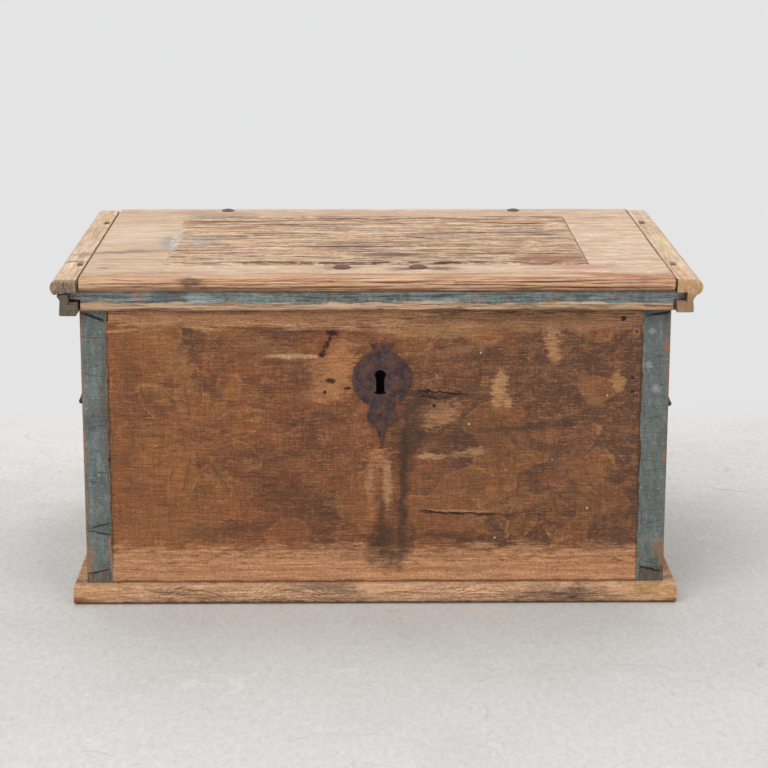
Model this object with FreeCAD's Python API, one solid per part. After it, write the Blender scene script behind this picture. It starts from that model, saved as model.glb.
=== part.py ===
"""Small painted pine chest: dovetailed box on a plank base, board lid with moulded cleats.

X runs left to right, Y front to back and Z up. The origin is on the floor, under the
middle of the whole chest. The lid is closed and the lock's bolt is drawn back.
"""
import FreeCAD
import Part
import math
import os

from FreeCAD import Vector

# Box of four boards
box_width = 656.0
box_depth = 418.0
wall_height = 319.3
lid_seat_gap = 0.2
front_board_thickness = 27.0
back_board_thickness = 27.0
side_board_thickness = 27.0
corner_radius = 2.5

# Dovetails: pins of the side boards show their ends on the front and back faces
dovetail_gap = 0.35
pin_end_sink = 0.3
pin_outer_half_width = 1.9
pin_inner_half_width = 7.6
left_front_pin_shares = (0.20, 0.387, 0.578, 0.779)
right_front_pin_shares = (0.236, 0.430, 0.624, 0.815)
back_pin_shares = (0.21, 0.40, 0.60, 0.79)
left_bottom_pin_outer = 10.8
left_bottom_pin_inner = 16.7
left_top_pin_outer = 4.2
left_top_pin_inner = 15.4
right_bottom_pin_outer = 18.0
right_bottom_pin_inner = 25.4
right_top_pin_outer = 5.2
right_top_pin_inner = 9.6
back_end_pin_outer = 7.0
back_end_pin_inner = 13.0

# Plank base
base_thickness = 22.5
base_side_overhang = 14.0
base_front_overhang = 14.0
base_nose_length = 9.0
base_nose_flat = 3.0
base_edge_round = 2.0
front_plank_depth = 236.0
plank_lap = 12.0
plank_gap = 0.4

# Lid board
lid_end_setback = 1.0
lid_thickness = 38.0
lid_front_overhang = 22.0
lid_side_shift = 2.1
lid_back_round = 2.5
tongue_length = 11.5
tongue_thickness = 9.3
tongue_below_top = 15.8
tongue_end_round = 1.6

# Moulding on the lid's front edge, as set-back from the nose and depth below the top
nose_top_setback = 5.0
nose_tip_depth = 7.4
nose_bottom_setback = 5.0
nose_bottom_depth = 14.8
fillet_setback = 6.2
fillet_depth = 16.2
cove_setback = 10.8
cove_depth = 29.6
foot_setback = 9.4
foot_depth = 30.8
foot_bottom_round = 1.2
arc_bulge_share = 0.71

# Raised weathered field on the lid, by the width of its smooth border over each side of the box
field_height = 2.2
field_bevel = 7.0
left_border = 89.5
left_border_back = 88.5
right_border = 86.0
right_border_back = 87.5
front_border = 53.0
back_border = 66.0

# Cracks in the lid: ends as shares of the board's length, place as share of the lid's depth
lid_crack_shares = (
    (-0.205, 0.370, 0.391),
    (-0.315, 0.043, 0.180),
    (0.294, 0.372, 0.178),
    (-0.306, -0.159, 0.743),
)
crack_half_width = 1.0
crack_depth = 5.0

# Hollows worn into the lid's lower front edge: middle and half width as shares of the board's length
worn_hollow_shares = (
    (-0.395, 0.047),
    (0.006, 0.014),
    (0.140, 0.017),
)
worn_hollow_depth = 2.0
worn_hollow_reach = 16.0

# Cleats on the lid's ends
cleat_width = 28.0
left_cleat_gap = 3.6
right_cleat_gap = 1.4
left_cleat_height = 40.0
right_cleat_height = 36.7
cleat_sink = 1.5
cleat_nose_top_run = 7.0
cleat_nose_tip_depth = 8.0
cleat_nose_bottom_run = 7.2
cleat_nose_bottom_depth = 17.5
cleat_fillet_run = 7.8
cleat_fillet_depth = 19.0
cleat_cove_run = 10.2
cleat_cove_depth = 26.0
cleat_foot_run = 9.4
cleat_foot_round = 1.8
groove_extra_depth = 1.4
left_groove_height = 12.9
right_groove_height = 10.6
cleat_back_radius = 18.0
cleat_front_round = 3.0
cleat_crack_height = 1.7
cleat_crack_length = 130.0
cleat_crack_drop = 3.6

# Nails with narrow T heads that hold the cleats
cleat_nail_inset = 9.0
cleat_nail_from_front = 89.0
cleat_nail_from_back = 91.0
cleat_nail_width = 3.4
cleat_nail_length = 32.0
t_head_width = 6.6
t_head_length = 20.0
t_head_thickness = 2.6
t_head_sink = 2.4
t_head_clearance = 0.3

# Wrought nails, from the width of the shank below the head
nail_clearance = 0.1
nail_tip_share = 0.35
nail_head_rim_share = 0.25
base_nail_width = 4.6
base_nail_length = 52.0
base_nail_head_radius = 7.5
base_nail_head_height = 2.6
base_nail_sink = 0.5
base_nails_per_long_board = 5
base_nails_per_side = 2
base_nail_end_inset = 62.0

# Swing handles on the sides: eyes clinched through the boards, and a bail in each pair
handle_from_front = 151.0
handle_eye_spacing = 116.0
left_handle_height = 235.0
right_handle_height = 231.0
eye_stand_off = 9.0
eye_wire_radius = 2.0
eye_hole_radius = 3.1
eye_shank_radius = 3.0
eye_shank_stand_off = 5.4
eye_shank_clearance = 0.1
clinch_length = 17.0
clinch_bend = 0.5
clinch_seat = 0.2
bail_radius = 3.0
bail_corner_radius = 6.0
bail_end_reach = 5.5
bail_knob_radius = 4.3
bail_knob_length = 2.2
bail_arm_overhang = 12.0
bail_knee_stand_off = 2.4
bail_knee_drop = 17.0
left_grip_stand_off = 20.0
left_grip_drop = 38.0
right_grip_stand_off = 23.2
right_grip_drop = 38.5
grip_radius = 4.5
grip_shoulder = 12.0

# Escutcheon
escutcheon_offset = 6.5
escutcheon_height = 260.8
escutcheon_thickness = 1.8
escutcheon_edge = 0.5
disc_radius = 32.6
escutcheon_bevel_from = 20.0
crown_half_width = 13.6
crown_neck_half_width = 10.0
crown_height = 41.0
crown_dip = 1.6
collar_waist_half_width = 13.2
collar_half_width = 17.3
collar_top = 34.4
collar_middle = 42.5
collar_bottom = 53.0
collar_bottom_half_width = 10.0
spike_half_width = 5.0
spike_top = 54.5
spike_bottom = 80.0
escutcheon_nail_width = 1.8
escutcheon_nail_length = 12.0
escutcheon_nail_head_radius = 2.1
escutcheon_nail_head_height = 1.1
escutcheon_nail_reach = 26.0
crown_nail_side = 2.8

# Keyhole
key_offset = 4.8
key_height = 265.6
keyhole_radius = 6.4
keyhole_waist_half_width = 4.6
keyhole_foot_half_width = 7.2
keyhole_foot_top = 17.6
keyhole_foot_flare = 2.3
keyhole_depth = 22.2
keyhole_margin = 1.0

# Lock on the inside of the front board
lock_plate_width = 152.0
lock_plate_thickness = 2.5
lock_plate_below_key = 44.0
lock_plate_above_key = 70.0
lock_plate_clearance = 0.3
lock_cover_width = 124.0
lock_cover_depth = 19.0
lock_cover_wall = 1.8
lock_cover_below_key = 36.0
lock_cover_above_key = 55.0
lock_foot_length = 9.0
lock_foot_thickness = 1.8
lock_foot_height = 16.0
slot_side_clearance = 1.2
slot_back_clearance = 0.8
key_post_radius = 2.4
key_post_collar_radius = 4.6
key_post_collar_height = 1.5
lock_nail_width = 3.0
lock_nail_length = 20.0
lock_nail_head_radius = 5.0
lock_nail_head_height = 2.2
lock_nail_side_inset = 7.0
lock_nail_end_inset = 9.0
lock_rivet_radius = 1.6
lock_rivet_head_radius = 3.2
lock_rivet_head_height = 1.6

# Bolt, drawn back; it shoots to the right through the staple
bolt_thickness = 5.0
bolt_throw = 14.0
bolt_bar_height = 10.0
bolt_bar_above_key = 14.6
bolt_tail = 56.0
bolt_bar_right = 30.0
bolt_web_left = 32.0
bolt_web_right = 18.0
bolt_gap_height = 8.0
bolt_finger_height = 11.0
bolt_finger_gap = 1.5
bolt_talon_width = 10.0
bolt_talon_depth = 6.0
bolt_round = 2.0
keeper_width = 6.0
keeper_wall = 2.2
keeper_clearance = 0.3
keeper_left = 40.0
keeper_right = 22.0
spring_thickness = 1.2
spring_width = 8.0
spring_foot = 10.0
spring_anchor = 57.0
spring_touch = 15.0
spring_lip = 5.0
spring_anchor_rise = 6.5
spring_clearance = 0.3

# Staple under the lid, on its own plate
staple_bar_width = 6.0
staple_leg_thickness = 3.0
staple_gap = 6.0
staple_bottom_thickness = 5.0
staple_swing_room = 3.6
staple_bar_clearance = 1.5
staple_plate_thickness = 3.0
staple_plate_length = 112.0
staple_plate_width = 22.0
staple_plate_tip = 6.0
staple_plate_wall_gap = 1.2
staple_rivet_spacing = 85.2
rivet_radius = 3.2
rivet_clearance = 0.1
front_rivet_head_radius = 10.0
front_rivet_head_height = 3.4
rivet_tail_radius = 5.0
rivet_tail_height = 1.8

# Strap hinges
hinge_spacing = 368.5
hinge_side_shift = -2.5
strap_thickness = 3.0
strap_root_width = 30.0
strap_tip_width = 15.0
strap_tip_radius = 10.5
lid_strap_length = 262.0
back_strap_length = 128.0
hinge_pin_radius = 3.0
hinge_pin_clearance = 0.06
hinge_wall_gap = 0.4
knuckle_gap = 0.35
knuckle_middle_width = 11.0
pin_head_radius = 4.6
pin_head_length = 1.8
strap_notch_clearance = 0.4
strap_rivet_inset = 14.0
strap_rivet_head_radius = 8.0
strap_rivet_head_height = 2.8
strap_nail_width = 3.4
strap_nail_head_radius = 5.2
strap_nail_head_height = 2.0
strap_nail_length = 26.0
lid_strap_nail_shares = (0.30, 0.60, 0.93)
back_strap_nail_shares = (0.22, 0.55, 0.88)

# Room that every cutting tool runs past the wood, and how near counts as the same place
overrun = 5.0
same_place = 0.000001

# Places worked out from the sizes above
strap_eye_radius = hinge_pin_radius + hinge_pin_clearance + strap_thickness
hinge_reach = hinge_wall_gap + 2 * strap_eye_radius
lid_depth = lid_front_overhang + box_depth
lid_board_length = box_width - 2 * lid_end_setback
whole_depth = lid_depth + hinge_reach
nose_y = -whole_depth / 2
front_y = nose_y + lid_front_overhang
back_y = front_y + box_depth
lid_back_y = nose_y + lid_depth

lid_half_span = lid_board_length / 2 + cleat_width + (left_cleat_gap + right_cleat_gap) / 2
board_x = (left_cleat_gap - right_cleat_gap) / 2
box_x = board_x - lid_side_shift
box_left = box_x - box_width / 2
box_right = box_x + box_width / 2
board_left = board_x - lid_board_length / 2
board_right = board_x + lid_board_length / 2

wall_top = base_thickness + wall_height
lid_bottom = wall_top + lid_seat_gap
lid_top = lid_bottom + lid_thickness
tongue_top = lid_top - tongue_below_top
tongue_bottom = tongue_top - tongue_thickness

inner_left = box_left + side_board_thickness
inner_right = box_right - side_board_thickness
inner_front = front_y + front_board_thickness
inner_back = back_y - back_board_thickness

hinge_y = back_y + hinge_wall_gap + strap_eye_radius
hinge_z = lid_bottom - strap_eye_radius

key_x = box_x + key_offset
key_z = key_height
lock_back_y = inner_front
bolt_bar_low = key_z + bolt_bar_above_key
bolt_bar_high = bolt_bar_low + bolt_bar_height
bolt_finger_low = bolt_bar_high + bolt_gap_height
bolt_finger_high = bolt_finger_low + bolt_finger_height
staple_front_y = inner_front + staple_swing_room
staple_inner_front = staple_front_y + staple_leg_thickness
staple_inner_back = staple_inner_front + staple_gap
staple_back_y = staple_inner_back + staple_leg_thickness
staple_low = bolt_bar_high + staple_bar_clearance
bolt_front_y = staple_inner_front + (staple_gap - bolt_thickness) / 2
bolt_back_y = bolt_front_y + bolt_thickness


def block(x_low, x_high, y_low, y_high, z_low, z_high):
    return Part.makeBox(x_high - x_low, y_high - y_low, z_high - z_low, Vector(x_low, y_low, z_low))


def outline_prism(plane, start, steps, low, high):
    """Extrude a closed outline from low to high along the normal of its plane.

    A step is ("line", end) or ("arc", through, end), each point in the plane's own two axes.
    """
    place = {
        "xy": lambda a, b: Vector(a, b, low),
        "xz": lambda a, b: Vector(a, low, b),
        "yz": lambda a, b: Vector(low, a, b),
    }[plane]
    travel = {
        "xy": Vector(0, 0, high - low),
        "xz": Vector(0, high - low, 0),
        "yz": Vector(high - low, 0, 0),
    }[plane]
    edges = []
    here = place(*start)
    for step in steps:
        end = place(*step[-1])
        if step[0] == "arc":
            edges.append(Part.Arc(here, place(*step[1]), end).toShape())
        else:
            edges.append(Part.LineSegment(here, end).toShape())
        here = end
    first = place(*start)
    if here.distanceToPoint(first) > same_place:
        edges.append(Part.LineSegment(here, first).toShape())
    return Part.Face(Part.Wire(edges)).extrude(travel)


def polygon_prism(plane, points, low, high):
    steps = [("line", point) for point in points[1:]]
    return outline_prism(plane, points[0], steps, low, high)


def bulge(first, second, corner, share=arc_bulge_share):
    """Return the middle point of a round stretch that turns a corner between two points."""
    middle = ((first[0] + second[0]) / 2, (first[1] + second[1]) / 2)
    return (middle[0] + (corner[0] - middle[0]) * (2 * share - 1),
            middle[1] + (corner[1] - middle[1]) * (2 * share - 1))


def nose_bulge(other, tip):
    """Return the middle point of the round from a point to a nose's tip, upright at the tip."""
    run = other[0] - tip[0]
    rise = other[1] - tip[1]
    radius = (run * run + rise * rise) / (2 * run)
    centre = (tip[0] + radius, tip[1])
    middle = (other[0] + tip[0] - 2 * centre[0], other[1] + tip[1] - 2 * centre[1])
    stretch = abs(radius) / math.hypot(*middle)
    return centre[0] + middle[0] * stretch, centre[1] + middle[1] * stretch


def rounded_rectangle(plane, a_low, a_high, b_low, b_high, radii, low, high):
    """Extrude a rectangle whose corners, from low-low counter-clockwise, have these radii."""
    inset = 1 - math.sqrt(0.5)
    corners = ((a_low, b_low, 1, 1), (a_high, b_low, -1, 1), (a_high, b_high, -1, -1), (a_low, b_high, 1, -1))
    steps = []
    start = None
    for index, (a, b, a_sign, b_sign) in enumerate(corners):
        radius = radii[index]
        along_b = (a, b + b_sign * radius)
        along_a = (a + a_sign * radius, b)
        first, last = (along_b, along_a) if index in (0, 2) else (along_a, along_b)
        if start is None:
            start = first
        else:
            steps.append(("line", first))
        if radius > 0:
            through = (a + a_sign * radius * inset, b + b_sign * radius * inset)
            steps.append(("arc", through, last))
    return outline_prism(plane, start, steps, low, high)


def aimed(shape, point, direction):
    """Turn a shape that was drawn along +Z so that its +Z points along direction, and move it."""
    shape.Placement = FreeCAD.Placement(point, FreeCAD.Rotation(Vector(0, 0, 1), direction))
    return shape


def square_taper(width, tip_width, length):
    """Return a square shank that hangs below the origin."""
    half = width / 2
    tip = tip_width / 2
    top = [Vector(-half, -half, 0), Vector(half, -half, 0), Vector(half, half, 0), Vector(-half, half, 0)]
    low = [Vector(-tip, -tip, -length), Vector(tip, -tip, -length), Vector(tip, tip, -length),
           Vector(-tip, tip, -length)]
    wires = [Part.makePolygon(corners + corners[:1]) for corners in (top, low)]
    return Part.makeLoft(wires, True, True)


def wrought_nail(width, length, head_radius, head_height, room=0.0, facets=8):
    """Return a nail along +Z: the head stands on the origin's plane, the shank hangs below.

    With room it is the hole for the nail, whose head is then left out.
    """
    tip = width * nail_tip_share
    shank = square_taper(width + 2 * room, tip + 2 * room, length + room)
    if room:
        return shank
    rim = head_height * nail_head_rim_share
    corners = []
    for index in range(facets):
        angle = 2 * math.pi * index / facets
        corners.append(Vector(head_radius * math.cos(angle), head_radius * math.sin(angle), 0))
    base = Part.Face(Part.makePolygon(corners + corners[:1]))
    disc = base.extrude(Vector(0, 0, rim))
    top_share = nail_tip_share
    high = [Vector(corner.x, corner.y, rim) for corner in corners]
    low = [Vector(corner.x * top_share, corner.y * top_share, head_height) for corner in corners]
    wires = [Part.makePolygon(ring + ring[:1]) for ring in (high, low)]
    cap = Part.makeLoft(wires, True, True)
    return shank.fuse([disc, cap]).removeSplitter()


def domed_head(radius, height):
    """Return a low round head that stands on the origin's plane."""
    rim = height * nail_head_rim_share
    top = (0, height)
    side = (radius, rim)
    dome = height - rim
    sphere_radius = (radius * radius + dome * dome) / (2 * dome)
    centre_z = height - sphere_radius
    angle = math.asin(radius / sphere_radius) / 2
    through = (sphere_radius * math.sin(angle), centre_z + sphere_radius * math.cos(angle))
    edges = [
        Part.LineSegment(Vector(0, 0, 0), Vector(radius, 0, 0)).toShape(),
        Part.LineSegment(Vector(radius, 0, 0), Vector(side[0], 0, side[1])).toShape(),
        Part.Arc(Vector(side[0], 0, side[1]), Vector(through[0], 0, through[1]),
                 Vector(0, 0, top[1])).toShape(),
        Part.LineSegment(Vector(0, 0, top[1]), Vector(0, 0, 0)).toShape(),
    ]
    return Part.Face(Part.Wire(edges)).revolve(Vector(0, 0, 0), Vector(0, 0, 1), 360)


def pin_heights(shares, bottom_outer, bottom_inner, top_outer, top_inner, room):
    """Return each pin's low and high Z at the outer face and at the inner face, grown by room."""
    low = base_thickness
    high = wall_top
    heights = [(low - room, low + bottom_outer + room, low - room, low + bottom_inner + room)]
    for share in shares:
        middle = low + share * wall_height
        narrow = pin_outer_half_width + room
        wide = pin_inner_half_width + room
        heights.append((middle - narrow, middle + narrow, middle - wide, middle + wide))
    heights.append((high - top_outer - room, high + room, high - top_inner - room, high + room))
    return heights


def pin_prism(side, heights, reach, past, y_low, y_high):
    """Extrude a pin along Y; reach lengthens it inwards and past lengthens it outwards."""
    outer, inner, inward = (box_left, inner_left, 1) if side == "left" else (box_right, inner_right, -1)
    outer_low, outer_high, inner_low, inner_high = heights
    end = inner + inward * reach
    points = [(outer, outer_low), (end, inner_low), (end, inner_high), (outer, outer_high)]
    if past:
        points += [(outer - inward * past, outer_high), (outer - inward * past, outer_low)]
    return polygon_prism("xz", points, y_low, y_high)


corner_pins = {
    ("left", "front"): (left_front_pin_shares, left_bottom_pin_outer, left_bottom_pin_inner,
                        left_top_pin_outer, left_top_pin_inner),
    ("right", "front"): (right_front_pin_shares, right_bottom_pin_outer, right_bottom_pin_inner,
                         right_top_pin_outer, right_top_pin_inner),
    ("left", "back"): (back_pin_shares, back_end_pin_outer, back_end_pin_inner,
                       back_end_pin_outer, back_end_pin_inner),
    ("right", "back"): (back_pin_shares, back_end_pin_outer, back_end_pin_inner,
                        back_end_pin_outer, back_end_pin_inner),
}


def box_envelope():
    """Return the box's whole block with its upright corners rounded, for trimming boards."""
    radii = (corner_radius,) * 4
    return rounded_rectangle("xy", box_left, box_right, front_y, back_y, radii, base_thickness, wall_top)


def keyhole_prism(margin, y_low, y_high):
    """Return the keyhole's shape, grown by margin: a round top, a waist and a flared foot."""
    radius = keyhole_radius + margin
    waist = keyhole_waist_half_width + margin
    foot = keyhole_foot_half_width + margin
    foot_top = key_z - keyhole_foot_top
    bottom = key_z - keyhole_depth - margin
    drop = math.sqrt(radius * radius - waist * waist)
    start = (key_x - waist, key_z - drop)
    steps = [
        ("arc", (key_x, key_z + radius), (key_x + waist, key_z - drop)),
        ("line", (key_x + waist, foot_top)),
        ("line", (key_x + foot, foot_top - keyhole_foot_flare)),
        ("arc", (key_x, bottom), (key_x - foot, foot_top - keyhole_foot_flare)),
        ("line", (key_x - waist, foot_top)),
    ]
    return outline_prism("xz", start, steps, y_low, y_high)


def lock_nail_places():
    """Return the X and Z of the four nails of the lock plate."""
    half = lock_plate_width / 2 - lock_nail_side_inset
    low = key_z - lock_plate_below_key + lock_nail_end_inset
    high = key_z + lock_plate_above_key - lock_nail_end_inset
    return [(key_x + side * half, z) for side in (-1, 1) for z in (low, high)]


def lock_nail(x, z, room=0.0):
    nail = wrought_nail(lock_nail_width, lock_nail_length, lock_nail_head_radius, lock_nail_head_height, room)
    return aimed(nail, Vector(x, lock_back_y, z), Vector(0, 1, 0))


def base_nail_places():
    """Return the X and Y of the nails that come up through the base into the boards."""
    places = []
    for index in range(base_nails_per_long_board):
        share = index / (base_nails_per_long_board - 1)
        x = box_left + base_nail_end_inset + share * (box_width - 2 * base_nail_end_inset)
        places.append((x, front_y + front_board_thickness / 2))
        places.append((x, back_y - back_board_thickness / 2))
    for index in range(base_nails_per_side):
        share = (index + 1) / (base_nails_per_side + 1)
        y = front_y + share * box_depth
        places.append((box_left + side_board_thickness / 2, y))
        places.append((box_right - side_board_thickness / 2, y))
    return places


def base_nail(x, y, room=0.0):
    nail = wrought_nail(base_nail_width, base_nail_length, base_nail_head_radius, base_nail_head_height, room)
    return aimed(nail, Vector(x, y, base_nail_sink + base_nail_head_height), Vector(0, 0, -1))


def cut_all(shape, tools):
    return shape.cut(tools) if tools else shape


def end_board(place):
    """Return the front or back board: tails at both ends, between the sides' pins."""
    y_low, y_high = (front_y, inner_front) if place == "front" else (inner_back, back_y)
    board = block(box_left, box_right, y_low, y_high, base_thickness, wall_top)
    tools = []
    for side in ("left", "right"):
        for heights in pin_heights(*corner_pins[(side, place)], dovetail_gap):
            tools.append(pin_prism(side, heights, dovetail_gap, overrun, y_low - overrun, y_high + overrun))
    return cut_all(board, tools)


def front_board():
    board = end_board("front").common(box_envelope())
    plate_low = key_z - lock_plate_below_key - lock_plate_clearance
    plate_high = key_z + lock_plate_above_key + lock_plate_clearance
    half = lock_plate_width / 2 + lock_plate_clearance
    tools = [
        keyhole_prism(keyhole_margin, front_y - overrun, inner_front + overrun),
        block(key_x - half, key_x + half, inner_front - lock_plate_thickness, inner_front + overrun,
              plate_low, plate_high),
    ]
    tools += [lock_nail(x, z, nail_clearance) for x, z in lock_nail_places()]
    tools += [base_nail(x, y, nail_clearance) for x, y in base_nail_places()]
    tools += [escutcheon_nail(x, z, nail_clearance) for x, z in escutcheon_nail_places()]
    return cut_all(board, tools)


def back_board():
    board = end_board("back").common(box_envelope())
    tools = [base_nail(x, y, nail_clearance) for x, y in base_nail_places()]
    for centre in hinge_centres():
        half = strap_root_width / 2 + strap_notch_clearance
        depth = strap_thickness + strap_notch_clearance
        tools.append(block(centre - half, centre + half, inner_back - overrun, back_y + overrun,
                           wall_top - depth, wall_top + overrun))
        tools += [back_strap_nail(centre, z, nail_clearance) for z in back_strap_nail_heights()]
    return cut_all(board, tools)


def side_board(side):
    """Return a side board: a plain board with dovetail pins at its front and back ends."""
    x_low, x_high = (box_left, inner_left) if side == "left" else (inner_right, box_right)
    board = block(x_low, x_high, inner_front + dovetail_gap, inner_back - dovetail_gap,
                  base_thickness, wall_top)
    pieces = [board]
    ends = (("front", front_y + pin_end_sink, inner_front + overrun),
            ("back", inner_back - overrun, back_y - pin_end_sink))
    for place, y_low, y_high in ends:
        for heights in pin_heights(*corner_pins[(side, place)], 0.0):
            pieces.append(pin_prism(side, heights, 0.0, 0.0, y_low, y_high))
    board = pieces[0].fuse(pieces[1:]).removeSplitter().common(box_envelope())
    tools = [base_nail(x, y, nail_clearance) for x, y in base_nail_places()]
    radius = eye_shank_radius + eye_shank_clearance
    for y, z in handle_eye_places(side):
        tools.append(Part.makeCylinder(radius, side_board_thickness + 2 * overrun,
                                       Vector(x_low - overrun, y, z), Vector(1, 0, 0)))
    return cut_all(board, tools)


def bottom_front_plank():
    """Return the front half of the base, with a rounded nose and a lapped back edge."""
    nose = front_y - base_front_overhang
    back = nose + front_plank_depth
    flat_low = (base_thickness - base_nose_flat) / 2
    flat_high = flat_low + base_nose_flat
    low_start = (nose + base_nose_length, 0)
    high_end = (nose + base_nose_length, base_thickness)
    start = (nose, flat_high)
    low = (nose, flat_low)
    lap_mid = base_thickness / 2
    steps = [
        ("arc", bulge(start, high_end, (nose, base_thickness)), high_end),
        ("line", (back + plank_lap, base_thickness)),
        ("line", (back + plank_lap, lap_mid)),
        ("line", (back, lap_mid)),
        ("line", (back, 0)),
        ("line", low_start),
        ("arc", bulge(low_start, low, (nose, 0)), low),
    ]
    left = box_left - base_side_overhang
    right = box_right + base_side_overhang
    plank = outline_prism("yz", start, steps, left, right)
    radii = (base_edge_round,) * 4
    trim = rounded_rectangle("xz", left, right, 0, base_thickness, radii,
                             nose - overrun, back + plank_lap + overrun)
    return cut_all(plank.common(trim), base_nail_holes())


def bottom_back_plank():
    nose = front_y - base_front_overhang
    front = nose + front_plank_depth
    lap_mid = base_thickness / 2 - plank_gap / 2
    left = box_left - base_side_overhang
    right = box_right + base_side_overhang
    points = [
        (front + plank_gap, 0),
        (back_y, 0),
        (back_y, base_thickness),
        (front + plank_lap + plank_gap, base_thickness),
        (front + plank_lap + plank_gap, lap_mid),
        (front + plank_gap, lap_mid),
    ]
    plank = polygon_prism("yz", points, left, right)
    radii = (base_edge_round,) * 4
    trim = rounded_rectangle("xz", left, right, 0, base_thickness, radii, front - overrun, back_y + overrun)
    return cut_all(plank.common(trim), base_nail_holes())


def base_nail_holes():
    """Return the nails' holes in the base: the shank's hole and the sunk seat of its head."""
    tools = []
    for x, y in base_nail_places():
        tools.append(base_nail(x, y, nail_clearance))
        radius = base_nail_head_radius + nail_clearance
        depth = base_nail_sink + base_nail_head_height
        tools.append(Part.makeCylinder(radius, depth + overrun, Vector(x, y, -overrun)))
    return tools


def escutcheon_nail_places():
    x = box_x + escutcheon_offset
    reach = escutcheon_nail_reach
    return [(x - reach, escutcheon_height), (x + reach, escutcheon_height),
            (x - crown_nail_side, escutcheon_height + reach)]


def escutcheon_nail(x, z, room=0.0):
    nail = wrought_nail(escutcheon_nail_width, escutcheon_nail_length, escutcheon_nail_head_radius,
                        escutcheon_nail_head_height, room)
    return aimed(nail, Vector(x, front_y - escutcheon_thickness, z), Vector(0, -1, 0))


def escutcheon():
    """Return the iron plate: a disc under a flared crown, over a collar and a spike."""
    x = box_x + escutcheon_offset
    z = escutcheon_height
    neck_rise = math.sqrt(disc_radius ** 2 - crown_neck_half_width ** 2)
    waist_drop = math.sqrt(disc_radius ** 2 - collar_waist_half_width ** 2)
    middle_crown = ((crown_half_width + crown_neck_half_width) / 2 - crown_dip,
                    (neck_rise + crown_height) / 2)
    start = (x - crown_neck_half_width, z + neck_rise)
    steps = [
        ("arc", (x - middle_crown[0], z + middle_crown[1]), (x - crown_half_width, z + crown_height)),
        ("arc", (x, z + crown_height - crown_dip), (x + crown_half_width, z + crown_height)),
        ("arc", (x + middle_crown[0], z + middle_crown[1]), (x + crown_neck_half_width, z + neck_rise)),
        ("arc", (x + disc_radius, z), (x + collar_waist_half_width, z - waist_drop)),
        ("line", (x + collar_waist_half_width, z - collar_top)),
        ("line", (x + collar_half_width, z - collar_middle)),
        ("line", (x + collar_bottom_half_width, z - collar_bottom)),
        ("line", (x + spike_half_width, z - spike_top)),
        ("line", (x, z - spike_bottom)),
        ("line", (x - spike_half_width, z - spike_top)),
        ("line", (x - collar_bottom_half_width, z - collar_bottom)),
        ("line", (x - collar_half_width, z - collar_middle)),
        ("line", (x - collar_waist_half_width, z - collar_top)),
        ("line", (x - collar_waist_half_width, z - waist_drop)),
        ("arc", (x - disc_radius, z), start),
    ]
    face_y = front_y - escutcheon_thickness
    plate = outline_prism("xz", start, steps, face_y, front_y)
    long_edges = [edge for edge in plate.Edges if edge.Length > escutcheon_bevel_from
                  and all(abs(vertex.Point.y - face_y) < same_place for vertex in edge.Vertexes)]
    plate = plate.makeChamfer(escutcheon_edge, long_edges)
    tools = [keyhole_prism(0.0, face_y - overrun, front_y + overrun)]
    tools += [escutcheon_nail(nail_x, nail_z, nail_clearance) for nail_x, nail_z in escutcheon_nail_places()]
    return cut_all(plate, tools)


def lock_plate():
    """Return the lock's plate, let into the inner face of the front board."""
    low = key_z - lock_plate_below_key
    high = key_z + lock_plate_above_key
    half = lock_plate_width / 2
    plate = block(key_x - half, key_x + half, inner_front - lock_plate_thickness, inner_front, low, high)
    tools = [keyhole_prism(0.0, inner_front - lock_plate_thickness - overrun, inner_front + overrun)]
    tools += [lock_nail(x, z, nail_clearance) for x, z in lock_nail_places()]
    tools += [lock_rivet(side, rivet_clearance) for side in (-1, 1)]
    return cut_all(plate, tools)


def lock_cover():
    """Return the lock's cover, a shallow case with two feet and a slot for the staple."""
    low = key_z - lock_cover_below_key
    high = key_z + lock_cover_above_key
    half = lock_cover_width / 2
    back = inner_front + lock_cover_depth
    wall = lock_cover_wall
    case = rounded_rectangle("xz", key_x - half, key_x + half, low, high, (wall,) * 4, inner_front, back)
    hollow = block(key_x - half + wall, key_x + half - wall, inner_front - overrun, back - wall,
                   low + wall, high - wall)
    slot_half = staple_bar_width / 2 + slot_side_clearance
    slot = block(key_x - slot_half, key_x + slot_half, inner_front - overrun,
                 staple_back_y + slot_back_clearance, high - wall - overrun, high + overrun)
    case = case.cut([hollow, slot])
    feet = []
    for side in (-1, 1):
        inner = key_x + side * (half - wall)
        outer = key_x + side * (half + lock_foot_length)
        middle = (low + high) / 2
        feet.append(block(min(inner, outer), max(inner, outer),
                          inner_front, inner_front + lock_foot_thickness,
                          middle - lock_foot_height / 2, middle + lock_foot_height / 2))
    case = case.fuse(feet).removeSplitter()
    return cut_all(case, [lock_rivet(side, rivet_clearance) for side in (-1, 1)])


def key_post():
    """Return the round post in the lock that a hollow key turns on."""
    back = inner_front + lock_cover_depth - lock_cover_wall
    post = Part.makeCylinder(key_post_radius, back - inner_front,
                             Vector(key_x, inner_front, key_z), Vector(0, 1, 0))
    collar = Part.makeCylinder(key_post_collar_radius, key_post_collar_height,
                               Vector(key_x, back - key_post_collar_height, key_z), Vector(0, 1, 0))
    return post.fuse(collar).removeSplitter()


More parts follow.
